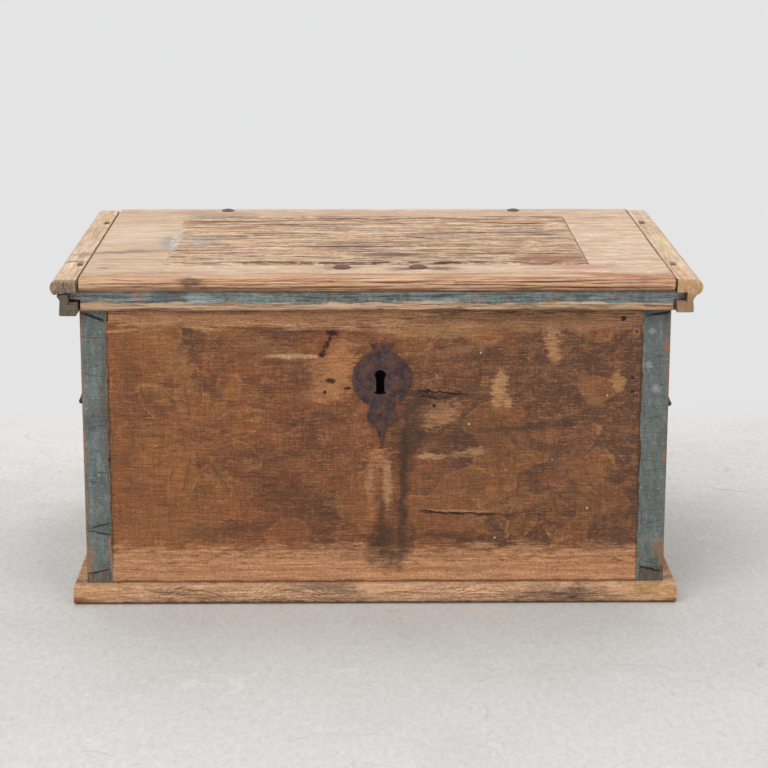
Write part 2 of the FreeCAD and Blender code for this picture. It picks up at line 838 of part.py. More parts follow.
def lock_bolt():
    """Return the bolt: a bar with the key's talon, a web and a finger that enters the staple."""
    finger_right = key_x - staple_bar_width / 2 - bolt_finger_gap
    tail = key_x - bolt_tail
    right = key_x + bolt_bar_right
    web_left = key_x - bolt_web_left
    web_right = key_x - bolt_web_right
    talon = key_x - bolt_throw / 2
    talon_half = bolt_talon_width / 2
    talon_top = bolt_bar_low + bolt_talon_depth
    nose_low = (finger_right - bolt_round, bolt_finger_low)
    nose_high = (finger_right - bolt_round, bolt_finger_high)
    steps = [
        ("line", (talon - talon_half, bolt_bar_low)),
        ("line", (talon - talon_half, talon_top)),
        ("line", (talon + talon_half, talon_top)),
        ("line", (talon + talon_half, bolt_bar_low)),
        ("line", (right, bolt_bar_low)),
        ("line", (right, bolt_bar_high)),
        ("line", (web_right, bolt_bar_high)),
        ("line", (web_right, bolt_finger_low)),
        ("line", nose_low),
        ("arc", (finger_right, (bolt_finger_low + bolt_finger_high) / 2), nose_high),
        ("line", (web_left, bolt_finger_high)),
        ("line", (web_left, bolt_bar_high)),
        ("line", (tail, bolt_bar_high)),
    ]
    return outline_prism("xz", (tail, bolt_bar_low), steps, bolt_front_y, bolt_back_y)


def lock_keepers():
    """Return the two bridges on the lock plate that the bolt's bar slides in."""
    bridges = []
    for left in (key_x - keeper_left, key_x + keeper_right):
        outer = block(left, left + keeper_width,
                      inner_front, bolt_back_y + keeper_clearance + keeper_wall,
                      bolt_bar_low - keeper_clearance - keeper_wall,
                      bolt_bar_high + keeper_clearance + keeper_wall)
        inner = block(left - overrun, left + keeper_width + overrun, bolt_front_y - keeper_clearance,
                      bolt_back_y + keeper_clearance, bolt_bar_low - keeper_clearance,
                      bolt_bar_high + keeper_clearance)
        bridges.append(outer.cut(inner))
    return Part.makeCompound(bridges)


def lock_spring():
    """Return the leaf spring whose tip presses on the top of the bolt's finger."""
    touch = (key_x - spring_touch, bolt_finger_high + spring_clearance)
    anchor = (key_x - spring_anchor, bolt_finger_high + spring_anchor_rise)
    heel = (anchor[0] + spring_foot, anchor[1])
    thick = spring_thickness
    points = [anchor, heel, (touch[0], touch[1]), (touch[0] + spring_lip, touch[1] + thick),
              (touch[0], touch[1] + thick), (heel[0], heel[1] + thick), (anchor[0], anchor[1] + thick)]
    leaf = polygon_prism("xz", points, bolt_front_y - (spring_width - bolt_thickness) / 2,
                         bolt_back_y + (spring_width - bolt_thickness) / 2)
    lug = block(anchor[0], heel[0], inner_front, bolt_back_y, anchor[1] + thick, anchor[1] + 2 * thick)
    return leaf.fuse(lug).removeSplitter()


def lock_staple():
    """Return the lid's staple: a plate with leaf-shaped ends and the loop that hangs from it."""
    half = staple_plate_length / 2
    plate_front = inner_front + staple_plate_wall_gap
    plate_back = plate_front + staple_plate_width
    middle = (plate_front + plate_back) / 2
    top = lid_bottom
    low = top - staple_plate_thickness
    tip = staple_plate_tip
    shoulder = staple_plate_width / 2
    start = (key_x - half + shoulder, plate_front)
    steps = [
        ("line", (key_x + half - shoulder, plate_front)),
        ("arc", bulge((key_x + half - shoulder, plate_front), (key_x + half, middle),
                      (key_x + half - tip, plate_front)), (key_x + half, middle)),
        ("arc", bulge((key_x + half, middle), (key_x + half - shoulder, plate_back),
                      (key_x + half - tip, plate_back)), (key_x + half - shoulder, plate_back)),
        ("line", (key_x - half + shoulder, plate_back)),
        ("arc", bulge((key_x - half + shoulder, plate_back), (key_x - half, middle),
                      (key_x - half + tip, plate_back)), (key_x - half, middle)),
        ("arc", bulge((key_x - half, middle), start, (key_x - half + tip, plate_front)), start),
    ]
    plate = outline_prism("xy", start, steps, low, top)
    bar = staple_bar_width / 2
    outer_radius = staple_leg_thickness
    loop = rounded_rectangle("yz", staple_front_y, staple_back_y, staple_low, low,
                             (outer_radius, outer_radius, 0, 0), key_x - bar, key_x + bar)
    hole = block(key_x - bar - overrun, key_x + bar + overrun, staple_inner_front, staple_inner_back,
                 staple_low + staple_bottom_thickness, low)
    shape = plate.fuse(loop.cut(hole)).removeSplitter()
    return cut_all(shape, [staple_rivet_shank(x, rivet_clearance) for x in staple_rivet_places()])


def staple_rivet_places():
    return [key_x + side * staple_rivet_spacing / 2 for side in (-1, 1)]


def staple_rivet_y():
    return inner_front + staple_plate_wall_gap + staple_plate_width / 2


def rivet_shank(x, y, low, room=0.0):
    return Part.makeCylinder(rivet_radius + room, lid_top - low, Vector(x, y, low))


def staple_rivet_shank(x, room=0.0):
    return rivet_shank(x, staple_rivet_y(), lid_bottom - staple_plate_thickness, room)


def staple_rivets():
    """Return the two rivets of the staple's plate, with big round heads on the lid's top."""
    rivets = []
    low = lid_bottom - staple_plate_thickness
    for x in staple_rivet_places():
        head = aimed(domed_head(front_rivet_head_radius, front_rivet_head_height),
                     Vector(x, staple_rivet_y(), lid_top), Vector(0, 0, 1))
        tail = aimed(domed_head(rivet_tail_radius, rivet_tail_height), Vector(x, staple_rivet_y(), low),
                     Vector(0, 0, -1))
        rivets.append(staple_rivet_shank(x).fuse([head, tail]).removeSplitter())
    return Part.makeCompound(rivets)


def hinge_centres():
    return [box_x + hinge_side_shift + side * hinge_spacing / 2 for side in (-1, 1)]


def strap_outline(length):
    """Return a strap's outline along +b from its root: it narrows to a waist before a round tip."""
    root = strap_root_width / 2
    neck = strap_tip_width / 2
    tip_centre = length - strap_tip_radius
    neck_along = tip_centre - math.sqrt(strap_tip_radius ** 2 - neck ** 2)
    return root, neck, neck_along, tip_centre


def lid_strap_rivet_y():
    return lid_back_y - strap_rivet_inset


def lid_strap(centre):
    """Return the hinge half under the lid: a long tapering strap with the middle knuckle."""
    root, neck, neck_along, tip_centre = strap_outline(lid_strap_length)
    start_y = hinge_y
    low = lid_bottom - strap_thickness
    start = (centre - root, back_y + hinge_wall_gap)
    steps = [
        ("line", (centre + root, back_y + hinge_wall_gap)),
        ("line", (centre + root, inner_back)),
        ("line", (centre + neck, start_y - neck_along)),
        ("arc", (centre, start_y - lid_strap_length), (centre - neck, start_y - neck_along)),
        ("line", (centre - root, inner_back)),
    ]
    strap = outline_prism("xy", start, steps, low, lid_bottom)
    half = knuckle_middle_width / 2
    neck_piece = block(centre - half, centre + half, back_y, hinge_y, low, lid_bottom)
    knuckle = Part.makeCylinder(strap_eye_radius, knuckle_middle_width,
                                Vector(centre - half, hinge_y, hinge_z), Vector(1, 0, 0))
    bore = Part.makeCylinder(hinge_pin_radius + hinge_pin_clearance, knuckle_middle_width + 2 * overrun,
                             Vector(centre - half - overrun, hinge_y, hinge_z), Vector(1, 0, 0))
    shape = strap.fuse([neck_piece, knuckle]).cut(bore).removeSplitter()
    tools = [rivet_shank(centre, lid_strap_rivet_y(), low - overrun, rivet_clearance)]
    tools += [lid_strap_nail(centre, y, nail_clearance) for y in lid_strap_nail_places()]
    return cut_all(shape, tools)


def lid_strap_nail_places():
    return [hinge_y - share * lid_strap_length for share in lid_strap_nail_shares]


def lid_strap_nail(centre, y, room=0.0):
    nail = wrought_nail(strap_nail_width, strap_nail_length, strap_nail_head_radius,
                        strap_nail_head_height, room)
    return aimed(nail, Vector(centre, y, lid_bottom - strap_thickness), Vector(0, 0, -1))


def back_strap(centre):
    """Return the hinge half on the back board: a short strap with the two outer knuckles."""
    root, neck, neck_along, tip_centre = strap_outline(back_strap_length)
    low_y = back_y
    high_y = back_y + strap_thickness
    root_z = hinge_z
    start = (centre - root, root_z)
    steps = [
        ("line", (centre + root, root_z)),
        ("line", (centre + neck, root_z - neck_along)),
        ("arc", (centre, root_z - back_strap_length), (centre - neck, root_z - neck_along)),
    ]
    strap = outline_prism("xz", start, steps, low_y, high_y)
    half = knuckle_middle_width / 2 + knuckle_gap
    knuckles = []
    for low_x, high_x in ((centre - root, centre - half), (centre + half, centre + root)):
        knuckles.append(Part.makeCylinder(strap_eye_radius, high_x - low_x, Vector(low_x, hinge_y, hinge_z),
                                          Vector(1, 0, 0)))
        knuckles.append(block(low_x, high_x, back_y, hinge_y, hinge_z - strap_eye_radius,
                              hinge_z - strap_eye_radius + strap_thickness))
    bore = Part.makeCylinder(hinge_pin_radius, strap_root_width + 2 * overrun,
                             Vector(centre - root - overrun, hinge_y, hinge_z), Vector(1, 0, 0))
    slot = block(centre - half, centre + half, back_y - overrun, hinge_y + overrun,
                 hinge_z - strap_eye_radius - knuckle_gap, hinge_z + overrun)
    shape = strap.fuse(knuckles).cut([bore, slot]).removeSplitter()
    return cut_all(shape, [back_strap_nail(centre, z, nail_clearance) for z in back_strap_nail_heights()])


def back_strap_nail_heights():
    return [hinge_z - share * back_strap_length for share in back_strap_nail_shares]


def back_strap_nail(centre, z, room=0.0):
    length = strap_nail_length
    nail = wrought_nail(strap_nail_width, length, strap_nail_head_radius, strap_nail_head_height, room)
    return aimed(nail, Vector(centre, back_y + strap_thickness, z), Vector(0, 1, 0))


def hinge_pin(centre):
    """Return a hinge's pin, with a small head at each end."""
    half = strap_root_width / 2
    start = Vector(centre - half, hinge_y, hinge_z)
    pin = Part.makeCylinder(hinge_pin_radius, strap_root_width, start, Vector(1, 0, 0))
    heads = [
        Part.makeCylinder(pin_head_radius, pin_head_length, start, Vector(-1, 0, 0)),
        Part.makeCylinder(pin_head_radius, pin_head_length,
                          Vector(centre + half, hinge_y, hinge_z), Vector(1, 0, 0)),
    ]
    return pin.fuse(heads).removeSplitter()


def strap_rivets():
    """Return the rivets that hold the straps to the lid's back edge, heads on top."""
    rivets = []
    low = lid_bottom - strap_thickness
    y = lid_strap_rivet_y()
    for centre in hinge_centres():
        head = aimed(domed_head(strap_rivet_head_radius, strap_rivet_head_height), Vector(centre, y, lid_top),
                     Vector(0, 0, 1))
        rivets.append(rivet_shank(centre, y, low).fuse(head).removeSplitter())
    return Part.makeCompound(rivets)


def lid_profile_steps():
    """Return the lid board's section in Y and Z: a moulded front edge and an eased back edge."""
    def at(setback, depth):
        return (nose_y + setback, lid_top - depth)
    top = at(nose_top_setback, 0)
    tip = at(0, nose_tip_depth)
    under = at(nose_bottom_setback, nose_bottom_depth)
    fillet = at(fillet_setback, fillet_depth)
    cove = at(cove_setback, cove_depth)
    foot = at(foot_setback, foot_depth)
    toe = at(foot_setback, lid_thickness - foot_bottom_round)
    toe_end = at(foot_setback + foot_bottom_round, lid_thickness)
    back_low = (lid_back_y, lid_bottom)
    back_high = (lid_back_y, lid_top - lid_back_round)
    back_top = (lid_back_y - lid_back_round, lid_top)
    steps = [
        ("arc", nose_bulge(top, tip), tip),
        ("arc", nose_bulge(under, tip), under),
        ("line", fillet),
        ("arc", bulge(fillet, cove, at(cove_setback, fillet_depth)), cove),
        ("line", foot),
        ("line", toe),
        ("arc", bulge(toe, toe_end, at(foot_setback, lid_thickness)), toe_end),
        ("line", back_low),
        ("line", back_high),
        ("arc", bulge(back_high, back_top, (lid_back_y, lid_top)), back_top),
    ]
    return top, steps


def crack(start_x, end_x, y):
    """Return a long thin cut along the grain that fades out at both ends."""
    middle = (start_x + end_x) / 2
    points = [(start_x, y), (middle, y - crack_half_width), (end_x, y), (middle, y + crack_half_width)]
    return polygon_prism("xy", points, lid_top - crack_depth, lid_top + field_height + overrun)


def raised_field():
    """Return the low raised field on the lid, bevelled all round."""
    def ring(inset, z):
        corners = [
            (box_left + left_border + inset, front_y + front_border + inset),
            (box_right - right_border - inset, front_y + front_border + inset),
            (box_right - right_border_back - inset, back_y - back_border - inset),
            (box_left + left_border_back + inset, back_y - back_border - inset),
        ]
        points = [Vector(x, y, z) for x, y in corners]
        return Part.makePolygon(points + points[:1])
    sink = field_height / 2
    low = ring(-field_bevel * sink / field_height, lid_top - sink)
    high = ring(field_bevel, lid_top + field_height)
    return Part.makeLoft([low, high], True, True)


def worn_hollow(x, half_width):
    """Return the round tool that scoops a shallow hollow out of the lid's lower front edge."""
    radius = (half_width ** 2 + worn_hollow_depth ** 2) / (2 * worn_hollow_depth)
    centre = Vector(x, nose_y - overrun, lid_bottom + worn_hollow_depth - radius)
    return Part.makeCylinder(radius, overrun + worn_hollow_reach, centre, Vector(0, 1, 0))


def lid_board():
    """Return the lid's wide board: tongued ends, moulded front, raised weathered field."""
    start, steps = lid_profile_steps()
    left = board_left - tongue_length
    right = board_right + tongue_length
    board = outline_prism("yz", start, steps, left, right)
    tools = []
    for low_x, high_x in ((left - overrun, board_left), (board_right, right + overrun)):
        for low_z, high_z in ((tongue_top, lid_top + overrun), (lid_bottom - overrun, tongue_bottom)):
            tools.append(block(low_x, high_x, nose_y - overrun, lid_back_y + overrun, low_z, high_z))
    board = board.cut(tools)
    radii = (tongue_end_round,) * 4
    ease = rounded_rectangle("xz", left, right, tongue_bottom, tongue_top, radii, nose_y - overrun,
                             lid_back_y + overrun)
    keep = block(board_left, board_right, nose_y - overrun, lid_back_y + overrun, lid_bottom - overrun,
                 lid_top + overrun)
    board = board.common(ease.fuse(keep)).fuse(raised_field()).removeSplitter()
    tools = []
    for start_share, end_share, depth_share in lid_crack_shares:
        tools.append(crack(board_x + start_share * lid_board_length, board_x + end_share * lid_board_length,
                           nose_y + depth_share * lid_depth))
    for middle_share, half_share in worn_hollow_shares:
        tools.append(worn_hollow(board_x + middle_share * lid_board_length, half_share * lid_board_length))
    tools += [staple_rivet_shank(x, rivet_clearance) for x in staple_rivet_places()]
    for centre in hinge_centres():
        tools.append(rivet_shank(centre, lid_strap_rivet_y(), lid_bottom - overrun, rivet_clearance))
        tools += [lid_strap_nail(centre, y, nail_clearance) for y in lid_strap_nail_places()]
    tools += [cleat_nail(side, y, nail_clearance) for side in ("left", "right") for y in cleat_nail_places()]
    return cut_all(board, tools)


def cleat_face(side):
    """Return the X of a cleat's inner face and the sign of its outward side."""
    if side == "left":
        return board_left - left_cleat_gap, -1
    return board_right + right_cleat_gap, 1


def cleat_nail_places():
    return [nose_y + cleat_nail_from_front, lid_back_y - cleat_nail_from_back]


def cleat_nail_x(side):
    return (board_left, board_right)[side == "right"] + (-1, 1)[side == "right"] * cleat_nail_inset


def cleat_nail(side, y, room=0.0):
    """Return a nail whose narrow head lies along the grain, sunk below the cleat's top."""
    x = cleat_nail_x(side)
    head_top = lid_top - cleat_sink - t_head_sink
    head_low = head_top - t_head_thickness
    width = cleat_nail_width + 2 * room
    shank = square_taper(width, width * nail_tip_share, cleat_nail_length + room)
    shank.translate(Vector(x, y, head_low))
    if room:
        return shank
    head = block(x - t_head_width / 2, x + t_head_width / 2, y - t_head_length / 2, y + t_head_length / 2,
                 head_low, head_top)
    return shank.fuse(head).removeSplitter()


def cleat_nail_pocket(side, y):
    """Return the room that a cleat nail's head was sunk into."""
    x = cleat_nail_x(side)
    half_width = t_head_width / 2 + t_head_clearance
    half_length = t_head_length / 2 + t_head_clearance
    low = lid_top - cleat_sink - t_head_sink - t_head_thickness
    return block(x - half_width, x + half_width, y - half_length, y + half_length, low, lid_top + overrun)


def cleat(side):
    """Return a moulded cleat with the groove that takes the lid board's tongue."""
    face_x, sign = cleat_face(side)
    gap = left_cleat_gap if side == "left" else right_cleat_gap
    height = left_cleat_height if side == "left" else right_cleat_height
    groove_height = left_groove_height if side == "left" else right_groove_height
    top = lid_top - cleat_sink
    low = top - height
    groove_depth = tongue_length + groove_extra_depth - gap

    def at(out, depth):
        return (face_x + sign * out, top - depth)
    crest = at(cleat_width - cleat_nose_top_run, 0)
    tip = at(cleat_width, cleat_nose_tip_depth)
    under = at(cleat_width - cleat_nose_bottom_run, cleat_nose_bottom_depth)
    fillet = at(cleat_width - cleat_fillet_run, cleat_fillet_depth)
    cove = at(cleat_width - cleat_cove_run, cleat_cove_depth)
    toe = at(cleat_width - cleat_foot_run, height - cleat_foot_round)
    toe_end = at(cleat_width - cleat_foot_run - cleat_foot_round, height)
    groove_high = (face_x, tongue_top)
    groove_low = (face_x, tongue_top - groove_height)
    steps = [
        ("line", crest),
        ("arc", nose_bulge(crest, tip), tip),
        ("arc", nose_bulge(under, tip), under),
        ("line", fillet),
        ("arc", bulge(fillet, cove, at(cleat_width - cleat_cove_run, cleat_fillet_depth)), cove),
        ("line", toe),
        ("arc", bulge(toe, toe_end, at(cleat_width - cleat_foot_run, height)), toe_end),
        ("line", (face_x, low)),
        ("line", groove_low),
        ("line", (face_x + sign * groove_depth, groove_low[1])),
        ("line", (face_x + sign * groove_depth, groove_high[1])),
        ("line", groove_high),
    ]
    shape = outline_prism("xz", (face_x, top), steps, nose_y, lid_back_y)
    outer_x = face_x + sign * cleat_width
    x_low, x_high = min(face_x, outer_x), max(face_x, outer_x)
    back_radius = cleat_back_radius
    plan_radii = (0, 0, 0, back_radius) if side == "left" else (0, 0, back_radius, 0)
    plan = rounded_rectangle("xy", x_low, x_high, nose_y, lid_back_y, plan_radii,
                             low - overrun, top + overrun)
    front_round = cleat_front_round
    flank = rounded_rectangle("yz", nose_y, lid_back_y, low, top, (0, 0, front_round, front_round),
                              x_low - overrun, x_high + overrun)
    shape = shape.common(plan.common(flank))
    tools = []
    for y in cleat_nail_places():
        tools.append(cleat_nail(side, y, nail_clearance))
        tools.append(cleat_nail_pocket(side, y))
    if side == "left":
        tools.append(cleat_crack(face_x - groove_depth, groove_high[1]))
    return cut_all(shape, tools)


def cleat_crack(start_x, start_z):
    """Return the split that runs from the groove to the cleat's outer side and closes further back."""
    front = nose_y - overrun
    spread = cleat_crack_height * (cleat_crack_length + overrun) / cleat_crack_length
    corners = [
        Vector(start_x, front, start_z),
        Vector(start_x, front, start_z - spread),
        Vector(start_x, nose_y + cleat_crack_length, start_z - spread / 2),
    ]
    face = Part.Face(Part.makePolygon(corners + corners[:1]))
    return face.extrude(Vector(-cleat_width, 0, -cleat_crack_drop))


def handle_height(side):
    return left_handle_height if side == "left" else right_handle_height


def handle_eye_places(side):
    """Return the Y and Z of a side's two handle eyes."""
    front = front_y + handle_from_front
    return [(front, handle_height(side)), (front + handle_eye_spacing, handle_height(side))]


def rounded_wire(points, radius):
    """Return a path through the points whose corners are rounded."""
    edges = []
    here = points[0]
    for before, corner, after in zip(points, points[1:], points[2:]):
        back = (before - corner).normalize()
        ahead = (after - corner).normalize()
        half_angle = back.getAngle(ahead) / 2
        run = radius / math.tan(half_angle)
        towards = (back + ahead).normalize()
        centre = corner + towards * (radius / math.sin(half_angle))
        first = corner + back * run
        last = corner + ahead * run
        edges.append(Part.LineSegment(here, first).toShape())
        edges.append(Part.Arc(first, centre - towards * radius, last).toShape())
        here = last
    edges.append(Part.LineSegment(here, points[-1]).toShape())
    return Part.Wire(edges)


def handle_eye(side, y, z):
    """Return a split eye: a ring outside, a shank through the board and two legs bent flat inside."""
    face_x, inner_x, inward = (box_left, inner_left, 1) if side == "left" else (box_right, inner_right, -1)
    ring_radius = eye_hole_radius + eye_wire_radius
    ring = Part.makeTorus(ring_radius, eye_wire_radius, Vector(face_x - inward * eye_stand_off, y, z),
                          Vector(0, 1, 0))
    start_x = face_x - inward * eye_shank_stand_off
    bend_x = inner_x + inward * (clinch_seat - clinch_bend)
    shank = Part.makeCylinder(eye_shank_radius, abs(bend_x - start_x),
                              Vector(start_x, y, z), Vector(inward, 0, 0))
    legs = []
    for up in (1, -1):
        edges = [
            Part.LineSegment(Vector(bend_x, y + eye_shank_radius, z),
                             Vector(bend_x, y - eye_shank_radius, z)).toShape(),
            Part.Arc(Vector(bend_x, y - eye_shank_radius, z), Vector(bend_x, y, z + up * eye_shank_radius),
                     Vector(bend_x, y + eye_shank_radius, z)).toShape(),
        ]
        half_round = Part.Face(Part.Wire(edges))
        pivot = Vector(bend_x, y, z + up * (eye_shank_radius + clinch_bend))
        axis = Vector(0, -inward * up, 0)
        legs.append(half_round.revolve(pivot, axis, 90))
        turned = half_round.rotated(pivot, axis, 90)
        legs.append(turned.extrude(Vector(0, 0, up * clinch_length)))
    return ring.fuse([shank] + legs).removeSplitter()


def handle_eyes(side):
    return group(handle_eye(side, y, z) for y, z in handle_eye_places(side))


def handle_bail(side):
    """Return a hanging bail: its knees lie on the side board and its grip stands out below."""
    face_x, outward = (box_left, -1) if side == "left" else (box_right, 1)
    grip_stand_off = left_grip_stand_off if side == "left" else right_grip_stand_off
    grip_drop = left_grip_drop if side == "left" else right_grip_drop
    (front_eye, height), (back_eye, _) = handle_eye_places(side)

    def at(stand_off, y, drop):
        return Vector(face_x + outward * stand_off, y, height - drop)
    front = front_eye - bail_arm_overhang
    back = back_eye + bail_arm_overhang
    points = [
        at(eye_stand_off, front_eye + bail_end_reach, 0),
        at(eye_stand_off, front, 0),
        at(bail_knee_stand_off, front, bail_knee_drop),
        at(grip_stand_off, front, grip_drop),
        at(grip_stand_off, back, grip_drop),
        at(bail_knee_stand_off, back, bail_knee_drop),
        at(eye_stand_off, back, 0),
        at(eye_stand_off, back_eye - bail_end_reach, 0),
    ]
    path = rounded_wire(points, bail_corner_radius)
    start = path.OrderedVertexes[0].Point
    section = Part.Wire(Part.makeCircle(bail_radius, start, points[1] - points[0]))
    bar = path.makePipeShell([section], True, True)
    knobs = [
        Part.makeCylinder(bail_knob_radius, bail_knob_length, points[0], Vector(0, 1, 0)),
        Part.makeCylinder(bail_knob_radius, bail_knob_length, points[-1], Vector(0, -1, 0)),
    ]
    grip_start = points[3] + Vector(0, grip_shoulder, 0)
    grip_end = points[4] - Vector(0, grip_shoulder, 0)
    middle = (grip_start + grip_end) * 0.5 + Vector(0, 0, grip_radius)
    low = bail_radius - clinch_seat
    edges = [
        Part.LineSegment(grip_start, grip_start + Vector(0, 0, low)).toShape(),
        Part.Arc(grip_start + Vector(0, 0, low), middle, grip_end + Vector(0, 0, low)).toShape(),
        Part.LineSegment(grip_end + Vector(0, 0, low), grip_end).toShape(),
        Part.LineSegment(grip_end, grip_start).toShape(),
    ]
    swell = Part.Face(Part.Wire(edges)).revolve(grip_start, Vector(0, 1, 0), 360)
    return bar.fuse(knobs + [swell]).removeSplitter()


def lock_rivet(side, room=0.0):
    """Return a rivet that holds one of the lock cover's feet to the lock plate."""
    x = key_x + side * (lock_cover_width / 2 + lock_foot_length / 2)
    z = key_z + (lock_cover_above_key - lock_cover_below_key) / 2
    front = inner_front - lock_plate_thickness
    length = lock_plate_thickness + lock_foot_thickness
    shank = Part.makeCylinder(lock_rivet_radius + room, length, Vector(x, front, z), Vector(0, 1, 0))
    if room:
        return shank
    head = aimed(domed_head(lock_rivet_head_radius, lock_rivet_head_height), Vector(x, front + length, z),
                 Vector(0, 1, 0))
    return shank.fuse(head).removeSplitter()


def group(shapes):
    return Part.makeCompound(list(shapes))


def build():
    """Return every piece by its name."""
    hinge_sides = dict(zip(("left", "right"), hinge_centres()))
    pieces = {
        "front_board": front_board(),
        "back_board": back_board(),
        "left_side_board": side_board("left"),
        "right_side_board": side_board("right"),
        "bottom_front_plank": bottom_front_plank(),
        "bottom_back_plank": bottom_back_plank(),
        "bottom_nails": group(base_nail(x, y) for x, y in base_nail_places()),
        "escutcheon_plate": escutcheon(),
        "escutcheon_nails": group(escutcheon_nail(x, z) for x, z in escutcheon_nail_places()),
        "lock_plate": lock_plate(),
        "lock_cover": lock_cover(),
        "lock_key_post": key_post(),
        "lock_bolt": lock_bolt(),
        "lock_bolt_keepers": lock_keepers(),
        "lock_spring": lock_spring(),
        "lock_nails": group(lock_nail(x, z) for x, z in lock_nail_places()),
        "lock_cover_rivets": group(lock_rivet(side) for side in (-1, 1)),
        "lid_board": lid_board(),
        "lid_left_cleat": cleat("left"),
        "lid_right_cleat": cleat("right"),
        "cleat_nails": group(cleat_nail(side, y) for side in ("left", "right") for y in cleat_nail_places()),
        "lid_staple": lock_staple(),
        "staple_rivets": staple_rivets(),
        "strap_rivets": strap_rivets(),
        "lid_strap_nails": group(lid_strap_nail(centre, y) for centre in hinge_centres()
                                 for y in lid_strap_nail_places()),
        "back_strap_nails": group(back_strap_nail(centre, z) for centre in hinge_centres()
                                  for z in back_strap_nail_heights()),
    }
    for side, centre in hinge_sides.items():
        pieces[side + "_lid_strap"] = lid_strap(centre)
        pieces[side + "_back_strap"] = back_strap(centre)
        pieces[side + "_hinge_pin"] = hinge_pin(centre)
        pieces[side + "_handle_eyes"] = handle_eyes(side)
        pieces[side + "_handle_bail"] = handle_bail(side)
    return pieces


def main():
    os.makedirs("parts", exist_ok=True)
    for name, shape in build().items():
        shape.exportStep(os.path.join("parts", name + ".step"))
        sound = shape.isValid() and all(solid.isClosed() for solid in shape.Solids)
        print(name, len(shape.Solids), "solids", round(shape.Volume), "mm3", "sound" if sound else "FAULTY")


if __name__ == "__main__":
    main()
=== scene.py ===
"""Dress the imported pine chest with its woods, paints and rusty iron, and set it on a pale stage."""
import math

import bpy
from mathutils import Matrix, Vector


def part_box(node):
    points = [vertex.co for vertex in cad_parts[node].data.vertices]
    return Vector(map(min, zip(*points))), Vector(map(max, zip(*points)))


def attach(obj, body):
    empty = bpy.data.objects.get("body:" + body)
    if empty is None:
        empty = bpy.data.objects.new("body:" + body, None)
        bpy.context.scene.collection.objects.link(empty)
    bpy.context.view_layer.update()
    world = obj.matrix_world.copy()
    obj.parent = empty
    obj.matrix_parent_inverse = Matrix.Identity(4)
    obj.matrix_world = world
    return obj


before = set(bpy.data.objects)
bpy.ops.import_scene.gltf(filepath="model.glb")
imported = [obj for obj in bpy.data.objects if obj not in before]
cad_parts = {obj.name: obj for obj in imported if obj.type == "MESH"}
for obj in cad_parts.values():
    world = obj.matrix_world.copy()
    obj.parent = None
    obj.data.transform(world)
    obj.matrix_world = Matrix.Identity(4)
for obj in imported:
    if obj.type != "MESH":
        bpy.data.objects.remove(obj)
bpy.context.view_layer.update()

bl_info = {
    "name": "Painted pine chest",
    "version": (1, 0, 0),
    "blender": (4, 5, 0),
    "location": "3D View > Sidebar > Chest",
    "description": "Finishes for an old painted pine chest with a weathered lid",
    "category": "Object",
}

MM = 0.001


def corners(name):
    """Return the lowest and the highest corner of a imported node, in millimetres."""
    return [tuple(value / MM for value in corner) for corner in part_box(name)]


# Planes of the chest in millimetres: the box's faces, the lid's front edge and its top round the field
BOX_LOW, BOX_HIGH = corners("front_board")
BASE_LOW, BASE_HIGH = corners("bottom_front_plank")
LID_LOW = corners("lid_board")[0]
LEFT, RIGHT = BOX_LOW[0], BOX_HIGH[0]
FRONT, BACK = BOX_LOW[1], corners("back_board")[1][1]
NOSE = LID_LOW[1]
LID_THICKNESS = 38.0
LID_TOP = LID_LOW[2] + LID_THICKNESS
BASE_TOP = 22.5
# Border of the lid's raised field, measured from the box's faces as the solid's is
FIELD_LEFT, FIELD_RIGHT = LEFT + 89.2, RIGHT - 85.7
FIELD_FRONT, FIELD_BACK = FRONT + 52.7, BACK - 65.7


def linear(code):
    """Turn an sRGB hex colour into the linear values that a shader takes."""
    parts = [int(code[place:place + 2], 16) / 255 for place in (1, 3, 5)]
    return tuple(part / 12.92 if part <= 0.04045 else ((part + 0.055) / 1.055) ** 2.4 for part in parts)


def colour_property(name, description, code):
    return bpy.props.FloatVectorProperty(name=name, description=description, subtype="COLOR", size=3,
                                         min=0.0, max=1.0, default=linear(code))


def length_property(name, description, millimetres):
    return bpy.props.FloatProperty(name=name, description=description, default=millimetres * MM, unit="LENGTH")


